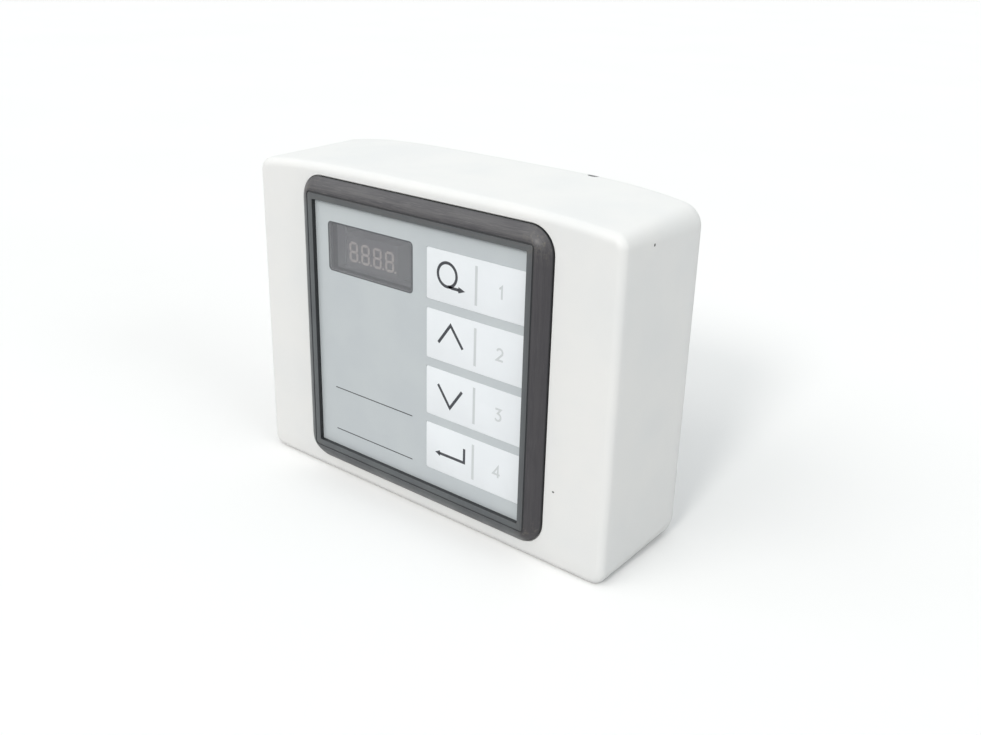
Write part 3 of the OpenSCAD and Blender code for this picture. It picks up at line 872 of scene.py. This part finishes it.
@dataclass
class Housing:
    """The deep shell, with a shallow seat for the bezel and a recess for the rear cover.

    Attributes:
        form: The shell's outline.
        opening: The bezel's aperture.
        wall: Thickness of the sides.
        front_wall: Thickness of the front.
        seat: Depth of the seat that the bezel lies in.
        seat_gap: Gap between the seat and the bezel.
        spigot: How far the hole in the front reaches past the aperture.
        cover_inset: Distance from the outline to the cover's recess.
        cover_t: Thickness of the cover.
        gasket_t: Thickness of the gasket.
        post_radius: Radius of the four posts that the cover is screwed to.
    """

    form: HousingForm
    opening: PanelOpening
    wall: float = 5.5 * MM
    front_wall: float = 4.0 * MM
    seat: float = 1.0 * MM
    seat_gap: float = 0.4 * MM
    spigot: float = 5.1 * MM
    cover_inset: float = 3.5 * MM
    cover_t: float = 4.0 * MM
    gasket_t: float = 1.0 * MM
    post_radius: float = 5.5 * MM

    def rings(self) -> list[Ring]:
        """Rings round the shell's section, from the front edge over the outside and back through it."""
        form, hole = self.form, self.opening
        front, rear = form.face_y, form.rear_y
        ledge = rear - self.cover_t - self.gasket_t
        inner = front + self.front_wall
        out = hole.margin + self.seat_gap
        made = [form.ring(front, form.front_edge + 0.06 * MM)]
        for k in range(11):
            a = math.radians(90 - 9 * k)
            made.append(form.ring(front + form.front_edge * (1 - math.sin(a)), form.front_edge * (1 - math.cos(a))))
        start, end = front + form.front_edge, rear - form.rear_edge
        made += [form.ring(mix(start, end, k / 12), 0.0) for k in range(1, 12)]
        last = math.acos(1 - self.cover_inset / form.rear_edge)
        for k in range(13):
            a = last * k / 12
            made.append(form.ring(rear - form.rear_edge * (1 - math.sin(a)), form.rear_edge * (1 - math.cos(a))))
        made.append(form.ring(ledge, self.cover_inset))
        made.append(form.ring(ledge, self.wall))
        made.append(form.ring(inner, self.wall))
        hole_ring = (hole.half_w + self.spigot, hole.half_h + self.spigot, hole.centre_z, 4.6 * MM)
        made.append(form.square(*hole_ring, inner))
        made.append(form.square(*hole_ring, front + self.seat))
        seat_r = hole.corner + self.seat_gap
        for grow, depth in ((0.0, self.seat), (0.0, 0.14 * MM), (0.04 * MM, 0.04 * MM), (0.14 * MM, 0.0),
                            (0.2 * MM, 0.0)):
            size = (hole.half_w + out + grow, hole.half_h + out + grow, hole.centre_z, seat_r + grow)
            made.append(form.square(*size, front + depth))
        return made

    def build(self) -> None:
        """Builds the shell with its posts."""
        work = bmesh.new()
        rows = skin(work, self.rings(), capped=False)
        edges = [work.edges.get((row[k - 1], row[k])) for row in (rows[0], rows[-1]) for k in range(len(row))]
        bmesh.ops.triangle_fill(work, use_beauty=True, edges=edges)
        low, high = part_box("cover_inserts")
        inner, top = self.form.face_y + self.front_wall, self.form.rear_y - self.cover_t
        radius = 2.8 * MM
        for x in (low.x + radius, high.x - radius):
            for z in (low.z + radius, high.z - radius):
                turned(work, (x, z), [(self.post_radius, inner - 0.3 * MM), (self.post_radius, top),
                                      (radius, top), (radius, top - 9 * MM), (2.2 * MM, top - 9 * MM),
                                      (2.2 * MM, inner - 0.3 * MM)])
        piece = linked("housing_shell", finished("housing_shell", work), HOUSING)
        place(piece, ROOT, ["housing"])


@dataclass
class Bezel:
    """The charcoal frame: a rounded band, a fine groove and a flat lip round the aperture.

    Attributes:
        opening: The aperture.
        face_y: Depth of the housing's front face.
        lip: Width of the flat lip.
        groove: Width of the groove outside the lip.
        groove_depth: Depth of the groove.
        rebate: Width of the step that the films lie in.
        recess: Depth of the films below the rim.
        seat: How far the frame reaches into the housing's seat.
        reach: Depth of the frame's rear below the housing's face.
    """

    opening: PanelOpening
    face_y: float
    lip: float = 2.3 * MM
    groove: float = 0.6 * MM
    groove_depth: float = 0.4 * MM
    rebate: float = 1.2 * MM
    recess: float = 1.8 * MM
    seat: float = 0.9 * MM
    reach: float = 4.0 * MM
    spigot: float = 5.0 * MM
    corner_steps: int = 12
    side_steps: int = 24

    def profile(self) -> list[tuple[float, float, float]]:
        """Inset, depth below the rim and corner radius along the frame's section."""
        proud = self.face_y - self.opening.rim_y
        margin = self.opening.margin
        band = margin - self.lip
        foot, corner = 0.4 * MM, self.opening.corner
        edge = band - self.groove
        made = [(0.1 * MM, proud + self.seat, corner - 0.1 * MM), (0.0, proud - foot + 0.1 * MM, corner)]
        for k in range(17):
            share = 0.99 * k / 16
            rise = foot + (proud - foot - 0.1 * MM) * math.sin(share * edge / band * QUARTER)
            made.append((edge * share, proud - rise, mix(corner, 1.8 * MM, share)))
        made += [(edge, 0.2 * MM, 1.6 * MM), (edge + 0.03 * MM, self.groove_depth, 1.4 * MM),
                 (band - 0.03 * MM, self.groove_depth, 1.0 * MM), (band, 0.14 * MM, 0.9 * MM),
                 (band + 0.06 * MM, 0.03 * MM, 0.9 * MM), (band + 0.2 * MM, 0.0, 0.8 * MM),
                 (margin - 0.22 * MM, 0.0, 0.5 * MM), (margin - 0.07 * MM, 0.03 * MM, 0.4 * MM),
                 (margin, 0.14 * MM, 0.3 * MM), (margin, self.recess, 0.3 * MM)]
        inner, outer = margin - self.rebate, margin - self.spigot
        rear = proud + self.reach
        made += [(inner, self.recess, 0.3 * MM), (inner, rear, 0.3 * MM), (outer, rear, 4.5 * MM),
                 (outer, proud + self.seat, 4.5 * MM)]
        return made

    def ring(self, inset: float, depth: float, radius: float) -> Ring:
        """Rounded rectangle round the aperture at one point of the section."""
        hole = self.opening
        half_w, half_h = hole.half_w + hole.margin - inset, hole.half_h + hole.margin - inset
        flat, rise = half_w - radius, half_h - radius
        centres = ((flat, rise), (-flat, rise), (-flat, -rise), (flat, -rise))
        points: list[Point] = []
        for quarter, centre in enumerate(centres):
            bend = arc(centre, radius, 90 * quarter, 90 * quarter + 90, self.corner_steps)
            after = centres[(quarter + 1) % 4]
            start = 90 * quarter + 90
            goal = arc(after, radius, start, start, 1)[0]
            last = bend[-1]
            straight = [(mix(last[0], goal[0], k / self.side_steps), mix(last[1], goal[1], k / self.side_steps))
                        for k in range(1, self.side_steps)]
            points += bend + straight
        y = hole.rim_y + depth
        return [Vector((x, y, hole.centre_z + z)) for x, z in points]

    def build(self) -> None:
        """Builds the frame with its run coordinates and wear attributes."""
        profile = self.profile()
        rings = [self.ring(*step) for step in profile]
        work = bmesh.new()
        run = work.loops.layers.uv.new("run")
        marks = [work.verts.layers.float.new(name) for name in ("band", "wear", "corner", "crevice_shade")]
        rows = skin(work, rings, closed=True)
        outer = rings[1]
        around, across = [0.0], [0.0]
        for k in range(1, len(outer) + 1):
            around.append(around[-1] + (outer[k % len(outer)] - outer[k - 1]).length)
        for near, far in zip(profile, profile[1:]):
            across.append(across[-1] + math.dist(near[:2], far[:2]))
        spots = {vert: (around[k], across[row]) for row, verts in enumerate(rows) for k, vert in enumerate(verts)}
        for face in work.faces:
            places = [spots[loop.vert] for loop in face.loops]
            wraps = max(p[0] for p in places) - min(p[0] for p in places) > around[-1] / 2
            for loop, (u, v) in zip(face.loops, places):
                loop[run].uv = (u + around[-1] if wraps and u == 0.0 else u, v)
        self.mark(marks, profile, rows)
        piece = linked("bezel_ring", finished("bezel_ring", work), BEZEL)
        place(piece, ROOT, ["bezel_frame"])

    def mark(self, marks: Sequence[Any], profile: Sequence[tuple], rows: Sequence[Sequence]) -> None:
        """Writes where the band's tint with its painted shade, the rubbed stretches, the worn corners and the painted
        crevice shade are.

        Args:
            marks: Layers of the four marks.
            profile: The frame's section.
            rows: Vertices of each ring, in the order of the section.
        """
        band, wear, corner, crevice_shade = marks
        hole = self.opening
        for (inset, depth, _), verts in zip(profile, rows):
            on_band = 1.0 if inset < hole.margin - self.lip - 0.5 * self.groove else 0.35
            in_groove = depth > 0.3 * MM and abs(inset - hole.margin + self.lip + self.groove / 2) < self.groove / 2
            down_wall = inset >= hole.margin or inset < 0.1 * MM
            for vert in verts:
                above = vert.co.z - hole.centre_z - hole.half_h
                aside = abs(vert.co.x) - hole.half_w
                end = min(max((min(abs(vert.co.z - hole.centre_z) - hole.half_h, aside) + 4 * MM) / (6 * MM), 0), 1)
                # Band tint weight: full on the right and top members, a quarter elsewhere, partly painted shade for
                # how light falls on those slopes.
                vert[band] = on_band * mix(0.25, 1.0, min(max(max(vert.co.x - hole.half_w, above) / (2 * MM), 0), 1))
                # Painted shade: full on the inner and outer walls, 0.6 in the groove.
                vert[crevice_shade] = 1.0 if down_wall else 0.6 if in_groove else 0.0
                handled = 1.0 if above > -0.5 * MM else 0.3 if vert.co.x > hole.half_w else 0.15
                vert[wear] = handled * mix(0.35, 1.0, min(inset / (2.4 * MM), 1))
                vert[corner] = end


NUMBERS = (
    ([(-0.9, 1.2), (0.2, 2.1), (0.2, -2.3)],),
    ([*arc((0.0, 1.0), 1.25, 165, -35, 10), (-1.35, -2.0), (1.5, -2.0)],),
    ([(-1.2, 2.1), (1.2, 2.1), (-0.1, 0.45), *arc((-0.1, -0.95), 1.35, 75, -150, 8)],),
    ([(0.7, -0.6), (0.7, 2.1), (-1.5, -1.0), (1.6, -1.0)], [(0.7, -1.4), (0.7, -2.3)]),
)


@dataclass
class KeyPanel:
    """The printed film, its four sprung keys and their printed signs.

    Attributes:
        opening: The aperture.
        names: The keys from the top.
        gap: Gap left round each key.
        ink: Thickness of a print.
        stroke: Width of a sign's line.
    """

    opening: PanelOpening
    names: tuple[str, ...] = ("feed", "up", "down", "enter")
    gap: float = 0.06 * MM
    ink: float = 0.02 * MM
    stroke: float = 1.1 * MM

    def cap(self, name: str) -> tuple[Vector, float]:
        """Builds one key.

        Args:
            name: Name of the key.

        Returns:
            The middle of its face, and half of its width.
        """
        low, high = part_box(f"key_{name}")
        grow = 0.15 * MM - self.gap
        middle = (low + high) / 2
        half_w, half_h = (high.x - low.x) / 2 + grow, (high.z - low.z) / 2 + grow
        steps = ((0.0, high.y, 0.6), (0.0, low.y + 0.1 * MM, 0.6), (0.04 * MM, low.y + 0.03 * MM, 0.56),
                 (0.12 * MM, low.y, 0.5))
        rings = []
        for inset, y, radius in steps:
            r = radius * MM
            flat, rise = half_w - inset - r, half_h - inset - r
            points = []
            for k, (sx, sz) in enumerate(((1, 1), (-1, 1), (-1, -1), (1, -1))):
                points += arc((middle.x + sx * flat, middle.z + sz * rise), r, 90 * k, 90 * k + 90, 5)
            rings.append([Vector((x, y, z)) for x, z in points])
        work = bmesh.new()
        skin(work, rings)
        piece = linked(f"key_cap_{name}", finished(f"key_cap_{name}", work), KEY_FILM)
        place(piece, f"key_{name}", [f"key_{name}"])
        return Vector((middle.x, low.y, middle.z)), half_w

    def printed(self, name: str, work: bmesh.types.BMesh, finish: Finish, body: str) -> None:
        """Turns drawn ink into a piece on a body."""
        place(linked(name, finished(name, work), finish), body)

    def signs(self, name: str, face: Vector) -> None:
        """Prints a key's sign on its left half.

        Args:
            name: Name of the key.
            face: Middle of the key's face.
        """
        front, back = face.y - self.ink, face.y + self.ink
        work = bmesh.new()

        def at(points: Iterable[Point]) -> list[Point]:
            """Points in millimetres from the key's middle, in the row frame."""
            return [(face.x + x * MM, face.z + z * MM) for x, z in points]

        if name == "feed":
            ring = arc((-12.8, 1.05), 4.3, 0, 354, 59)
            ribbon(work, at(ring), self.stroke, front, back, closed=True)
            ribbon(work, at([(-12.2, -3.1), (-10.6, -3.3), (-7.4, -3.3)]), self.stroke, front, back)
            plate(work, at([(-7.6, -4.45), (-4.5, -3.3), (-7.6, -2.15)]), front, back)
        elif name == "up":
            ribbon(work, at([(-16.7, -2.5), (-11.0, 5.2), (-5.3, -2.4)]), self.stroke, front, back)
        elif name == "down":
            ribbon(work, at([(-16.7, 3.6), (-11.0, -4.3), (-5.3, 3.6)]), self.stroke, front, back)
        else:
            ribbon(work, at([(-16.0, -1.7), (-3.8, -1.7), (-3.8, 3.9)]), self.stroke, front, back)
            plate(work, at([(-15.6, -0.5), (-17.9, -1.7), (-15.6, -2.9)]), front, back)
        self.printed(f"sign_{name}", work, DARK_INK, f"key_{name}")

    def bar_and_number(self, name: str, number: int, face: Vector) -> None:
        """Prints a key's divider and plain number.

        Args:
            name: Name of the key.
            number: The key's place in the column.
            face: Middle of the key's face.
        """
        front, back = face.y - self.ink, face.y + self.ink
        work = bmesh.new()
        half_w, half_h = 0.55 * MM, 7.05 * MM
        outline = [(face.x + 0.35 * MM + sx * half_w, face.z + sz * half_h)
                   for sx, sz in ((-1, -1), (1, -1), (1, 1), (-1, 1))]
        plate(work, outline, front, back)
        self.printed(f"divider_{name}", work, PALE_INK, f"key_{name}")
        work = bmesh.new()
        for line in NUMBERS[number - 1]:
            points = [(face.x + (11.4 + x) * MM, face.z + z * MM) for x, z in line]
            ribbon(work, points, 0.75 * MM, front, back)
        self.printed(f"number_{name}", work, PALE_INK, f"key_{name}")

    def rules(self) -> None:
        """Prints the two thin rules and the window's outline on the film."""
        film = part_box("graphic_overlay")[0].y
        left, base = -self.opening.half_w, self.opening.centre_z - self.opening.half_h
        work = bmesh.new()
        for rise in (25.2 * MM, 7.1 * MM):
            line = [(left + 8.4 * MM, base + rise), (left + 50 * MM, base + rise)]
            ribbon(work, line, 0.4 * MM, film - self.ink, film + self.ink)
        self.printed("film_rules", work, DARK_INK, ROOT)
        low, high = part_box("display_window")
        work = bmesh.new()
        r, out = 1.5 * MM, 0.12 * MM
        points = []
        for k, (x, z) in enumerate(((high.x, high.z), (low.x, high.z), (low.x, low.z), (high.x, low.z))):
            sx, sz = (1, 1) if k == 0 else (-1, 1) if k == 1 else (-1, -1) if k == 2 else (1, -1)
            points += arc((x - sx * (r - out), z - sz * (r - out)), r, 90 * k, 90 * k + 90, 6)
        ribbon(work, points, 0.42 * MM, film - self.ink, film + self.ink, closed=True)
        self.printed("window_outline", work, FRAME_INK, ROOT)

    def build(self) -> None:
        """Builds the keys and every print."""
        for number, name in enumerate(self.names, start=1):
            face, _ = self.cap(name)
            self.signs(name, face)
            self.bar_and_number(name, number, face)
        self.rules()
        dress(["graphic_overlay"], OVERLAY)


@dataclass
class RearCover:
    """The bolted cover with its screws and the brass inserts of the bracket.

    Attributes:
        form: The housing's outline.
        inset: Distance from the outline to the cover's edge.
        thick: Thickness of the cover.
        connector_hole: Radius of the connector's hole.
    """

    form: HousingForm
    inset: float = 3.75 * MM
    thick: float = 4.0 * MM
    connector_hole: float = 8.0 * MM

    def shell(self) -> None:
        """Builds the cover's plate with its bosses and holes."""
        form, rear = self.form, self.form.rear_y
        inside = rear - self.thick
        first = math.acos(1 - self.inset / form.rear_edge)
        rings = [form.ring(inside, self.inset)]
        for k in range(11):
            a = mix(first, QUARTER, k / 10)
            rings.append(form.ring(rear - form.rear_edge * (1 - math.sin(a)), form.rear_edge * (1 - math.cos(a))))
        rings.append(form.ring(rear, form.rear_edge + 0.8 * MM))
        work = bmesh.new()
        skin(work, rings)
        piece = linked("cover_shell", finished("cover_shell", work), COVER)
        bosses, cuts = bmesh.new(), bmesh.new()
        for x, z in self.centres("mount_inserts"):
            turned(bosses, (x, z), [(0, 0), (6.2 * MM, inside - 5 * MM), (6.2 * MM, inside + MM), (0, 0)])
            turned(cuts, (x, z), [(0, 0), (3.4 * MM, inside - 6 * MM), (3.4 * MM, rear + MM), (0, 0)])
        for x, z in self.centres("cover_screws"):
            turned(cuts, (x, z), [(0, 0), (2.2 * MM, inside - MM), (2.2 * MM, rear - 2.2 * MM),
                                  (4.3 * MM, rear - 2.2 * MM), (4.3 * MM, rear - 0.25 * MM),
                                  (4.6 * MM, rear + 0.05 * MM), (4.6 * MM, rear + MM), (0, 0)])
        low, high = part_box("connector_nut")
        centre = ((low.x + high.x) / 2, (low.z + high.z) / 2)
        turned(cuts, centre, [(0, 0), (self.connector_hole, inside - MM), (self.connector_hole, rear + MM), (0, 0)])
        tools = [(linked("boss_tool", finished("boss_tool", bosses)), "UNION"),
                 (linked("hole_tool", finished("hole_tool", cuts)), "DIFFERENCE")]
        place(combined(piece, tools), ROOT, ["rear_cover"])

    @staticmethod
    def centres(node: str) -> list[Point]:
        """X and Z of the four corners of a node's pattern, at the middles of its pieces."""
        low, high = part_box(node)
        radius = {"mount_inserts": 3.4 * MM, "cover_screws": 3.8 * MM}[node]
        return [(x, z) for x in (low.x + radius, high.x - radius) for z in (low.z + radius, high.z - radius)]

    def screws(self) -> None:
        """Builds one cross headed screw and repeats it at the four posts."""
        rear = self.form.rear_y
        work = bmesh.new()
        r = 3.8 * MM
        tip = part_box("cover_screws")[0].y
        turned(work, (0, 0), [(0, 0), (1.5 * MM, tip), (1.9 * MM, tip + 0.5 * MM), (1.9 * MM, rear - 2.2 * MM),
                              (r, rear - 2.2 * MM), (r, rear - 0.9 * MM), (r - 0.2 * MM, rear - 0.5 * MM),
                              (r - 0.8 * MM, rear - 0.18 * MM), (r - 1.8 * MM, rear - 0.02 * MM), (0, 0)], 40)
        piece = linked("cover_screw_seed", finished("cover_screw_seed", work), SCREW_STEEL)
        arm, half = 2.2, 0.45
        outline = [(half, half), (half, arm), (-half, arm), (-half, half), (-arm, half), (-arm, -half),
                   (-half, -half), (-half, -arm), (half, -arm), (half, -half), (arm, -half), (arm, half)]
        spin = Matrix.Rotation(0.4, 2)
        points = [spin @ Vector((x * MM, z * MM)) for x, z in outline]
        cross = bmesh.new()
        plate(cross, [(p.x, p.y) for p in points], rear - 1.5 * MM, rear + MM)
        seed = combined(piece, [(linked("cross_tool", finished("cross_tool", cross)), "DIFFERENCE")])
        low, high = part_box("cover_screws")
        made = Pattern.GRID.grow("cover_screw_set", seed.data, SCREW_STEEL, Width=high.x - low.x - 2 * r,
                                 Height=high.z - low.z - 2 * r, Centre=(0.0, 0.0, (low.z + high.z) / 2))
        bpy.data.objects.remove(seed)
        place(made, ROOT, ["cover_screws"])

    def inserts(self) -> None:
        """Builds one threaded brass insert and repeats it at the four bosses."""
        low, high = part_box("mount_inserts")
        r, bore = 3.4 * MM, 2.1 * MM
        pitch = 0.8 * MM
        profile = [(r, low.y), (r, high.y - 0.2 * MM), (r - 0.2 * MM, high.y), (2.75 * MM, high.y)]
        turns = int((high.y - low.y - MM) / pitch)
        for k in range(turns):
            crest = high.y - 0.5 * MM - pitch * k
            profile += [(bore, crest), (bore + 0.4 * MM, crest - pitch / 2)]
        profile += [(bore, low.y)]
        work = bmesh.new()
        turned(work, (0, 0), profile, 36)
        made = Pattern.GRID.grow("mount_insert_set", finished("mount_insert_seed", work), BRASS,
                                 Width=high.x - low.x - 2 * r, Height=high.z - low.z - 2 * r,
                                 Centre=(0.0, 0.0, (low.z + high.z) / 2))
        place(made, ROOT, ["mount_inserts"])

    def build(self) -> None:
        """Builds the cover, its screws and its inserts."""
        self.shell()
        self.screws()
        self.inserts()


@dataclass
class Connector:
    """The round threaded connector with its gripped flange.

    Attributes:
        rear_y: Depth of the cover's rear face.
        thread: Outer radius of the thread.
        socket: Radius of the socket.
        flange: Radius of the flange.
        flange_t: Thickness of the flange.
        pitch: Pitch of the thread.
        grips: Number of grip ribs round the flange.
    """

    rear_y: float
    thread: float = 9.0 * MM
    socket: float = 6.5 * MM
    flange: float = 11.0 * MM
    flange_t: float = 2.2 * MM
    pitch: float = 1.0 * MM
    grips: int = 48

    def build(self) -> None:
        """Builds the shell, its thread ridge and its grip ribs."""
        low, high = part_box("connector_shell")
        centre = ((low.x + high.x) / 2, (low.z + high.z) / 2)
        rear, end = self.rear_y, high.y
        depth = 0.35 * MM
        core = self.thread - 2 * depth
        face = rear + self.flange_t
        grip = self.flange - 0.25 * MM
        work = bmesh.new()
        turned(work, centre, [
            (self.socket, low.y), (7.9 * MM, low.y), (7.9 * MM, rear), (grip - 0.3 * MM, rear),
            (grip, rear + 0.3 * MM), (grip, face - 0.3 * MM), (grip - 0.3 * MM, face), (core, face),
            (core, end - 0.5 * MM), (core - 0.4 * MM, end), (self.socket + 0.3 * MM, end),
            (self.socket, end - 0.3 * MM)], 96)
        piece = linked("connector_body", finished("connector_body", work), NICKEL)
        place(piece, ROOT, ["connector_shell"])
        empty = bpy.data.meshes.new("thread_seed")
        ridge = Pattern.THREAD.grow("connector_thread", empty, NICKEL, Radius=self.thread, Pitch=self.pitch,
                                    Length=end - face - 1.1 * MM, Depth=depth,
                                    Centre=(centre[0], face + 0.45 * MM, centre[1]))
        place(ridge, ROOT)
        work = bmesh.new()
        half, proud = 0.28 * MM, 0.25 * MM
        for y0, y1 in ((rear + 0.35 * MM, face - 0.35 * MM),):
            rings = [[Vector((x, y, z)) for x, z in ((-proud, -half), (0.0, -half), (proud, 0.0), (0.0, half),
                                                     (-proud, half))] for y in (y0, y1)]
            skin(work, rings)
        ribs = Pattern.CIRCLE.grow("connector_grips", finished("grip_seed", work), NICKEL, Count=self.grips,
                                   Radius=grip, Centre=(centre[0], 0.0, centre[1]))
        place(ribs, ROOT)


@dataclass
class Innards:
    """The pieces of the frame that keep their own shape, and the finish of each.

    Attributes:
        finishes: Names of the nodes in each finish.
    """

    finishes: list[tuple[Finish, tuple[str, ...]]] = field(default_factory=lambda: [
        (WINDOW, ("display_window",)),
        (SPACER, ("spacer_film",)),
        (CARRIER, ("keypad_carrier",)),
        (PLUNGER, ("plunger_feed", "plunger_up", "plunger_down", "plunger_enter")),
        (BLACK, ("switch_feed", "switch_up", "switch_down", "switch_enter", "display_socket", "microcontroller",
                 "display_driver", "voltage_regulator", "board_header", "ribbon_plug", "connector_insert")),
        (DISPLAY_BODY, ("display_module",)),
        (DIGIT_LENS, ("digit_1", "digit_2", "digit_3", "digit_4")),
        (ZINC, ("chassis_plate", "board_standoffs", "connector_nut")),
        (SCREW_STEEL, ("chassis_screws", "board_screws")),
        (CRYSTAL, ("crystal",)),
        (BRASS, ("cover_inserts", "connector_contacts")),
        (LAMINATE, ("circuit_board",)),
        (SLEEVE, ("capacitor",)),
        (RIBBON, ("ribbon_cable",)),
        (RUBBER, ("cover_gasket", "connector_seal")),
    ])

    def build(self) -> None:
        """Dresses every node."""
        for finish, names in self.finishes:
            dress(names, finish)


@dataclass(frozen=True)
class Lamp:
    """A distant soft light.

    Attributes:
        towards: Direction from the part towards the light.
        power: Strength.
        size: Angular width in degrees.
        colour: Colour of the light.
    """

    towards: tuple[float, float, float]
    power: float
    size: float
    colour: tuple[float, float, float]

    def build(self, name: str) -> None:
        """Makes the light."""
        data = bpy.data.lights.new(name, "SUN")
        data.energy, data.angle, data.color = self.power, math.radians(self.size), self.colour
        made = bpy.data.objects.new(name, data)
        made.rotation_euler = Vector(self.towards).to_track_quat("Z", "Y").to_euler()
        bpy.context.scene.collection.objects.link(made)


@dataclass
class Studio:
    """Pale floor, soft light and the camera.

    Attributes:
        camera_at: Place of the camera.
        right: The camera's right hand direction.
        up: The camera's upward direction.
        lens: Focal length in millimetres on a 36 mm sensor.
        lamps: The lights.
        sky: Colour of the light from all round.
        sky_power: Strength of the light from all round.
    """

    camera_at: tuple[float, float, float] = (0.25205, -0.29771, 0.20903)
    right: tuple[float, float, float] = (0.77086, 0.63655, 0.02405)
    up: tuple[float, float, float] = (-0.25690, 0.27611, 0.92616)
    lens: float = 39.44
    lamps: dict[str, Lamp] = field(default_factory=lambda: {
        "front_light": Lamp((0.35, -1.65, 1.0), 1.1, 12, (1.0, 0.975, 0.94)),
        "left_light": Lamp((-0.35, -1.05, 1.0), 0.48, 30, (1.0, 0.98, 0.95)),
        "far_left_light": Lamp((-1.0, -0.75, 1.0), 0.26, 40, (1.0, 0.99, 0.97)),
        "side_light": Lamp((1.0, -0.1, 0.45), 0.56, 30, (0.97, 1.0, 0.99)),
        "top_light": Lamp((0.0, 0.0, 1.0), 1.84, 120, (0.965, 0.995, 1.0)),
    })
    sky: Colour = (0.955, 0.985, 1.0, 1.0)
    sky_power: float = 0.1

    def camera(self) -> None:
        """Makes the scene's camera."""
        data = bpy.data.cameras.new("camera")
        data.lens, data.sensor_width = self.lens, 36.0
        data.clip_start, data.clip_end = 0.01, 50.0
        made = bpy.data.objects.new("camera", data)
        right, up = Vector(self.right).normalized(), Vector(self.up).normalized()
        turn = Matrix((right, up, right.cross(up))).transposed().to_4x4()
        made.matrix_world = Matrix.Translation(self.camera_at) @ turn
        bpy.context.scene.collection.objects.link(made)
        bpy.context.scene.camera = made

    def sky_light(self) -> None:
        """Makes the light from all round, and the white that shows in the view and in reflections."""
        world = bpy.data.worlds.new("studio")
        bpy.context.scene.world = world
        world.use_nodes = True
        world.node_tree.nodes.clear()
        graph = Graph(world.node_tree)
        rays = graph.node("ShaderNodeLightPath").outputs
        seen = graph.math("MAXIMUM", rays["Is Camera Ray"],
                          graph.math("MAXIMUM", rays["Is Glossy Ray"], rays["Is Transmission Ray"]))
        soft = graph.node("ShaderNodeBackground", {"Color": self.sky, "Strength": self.sky_power})
        white = graph.node("ShaderNodeBackground", {"Color": tone(250, 254, 254), "Strength": 1.0})
        both = graph.node("ShaderNodeMixShader", {0: seen, 1: soft.outputs[0], 2: white.outputs[0]})
        graph.node("ShaderNodeOutputWorld", {"Surface": both.outputs[0]})

    def floor(self) -> None:
        """Makes the floor that the part stands on."""
        finish = FloorFinish("floor_paper", tone(248, 248, 248), tone(247, 247, 247), 0.9, 0.02, grain=2 * MM,
                             relief=0.01 * MM, patch=200 * MM, specular=0.0)
        work = bmesh.new()
        bmesh.ops.create_grid(work, x_segments=8, y_segments=8, size=20.0)
        made = linked("floor", finished("floor", work), finish)

    def build(self) -> None:
        """Sets the whole studio up."""
        bpy.context.scene.view_settings.view_transform = "Standard"
        self.camera()
        for name, lamp in self.lamps.items():
            lamp.build(name)
        self.sky_light()
        self.floor()


def main() -> None:
    """Builds the panel in its studio."""
    logging.basicConfig(level=logging.INFO, format="%(name)s: %(message)s")
    Studio().build()
    form, opening = HousingForm.from_frame(), PanelOpening.from_frame()
    Housing(form, opening).build()
    Bezel(opening, form.face_y).build()
    KeyPanel(opening).build()
    RearCover(form).build()
    Connector(form.rear_y).build()
    Innards().build()


if __name__ == "__main__":
    main()
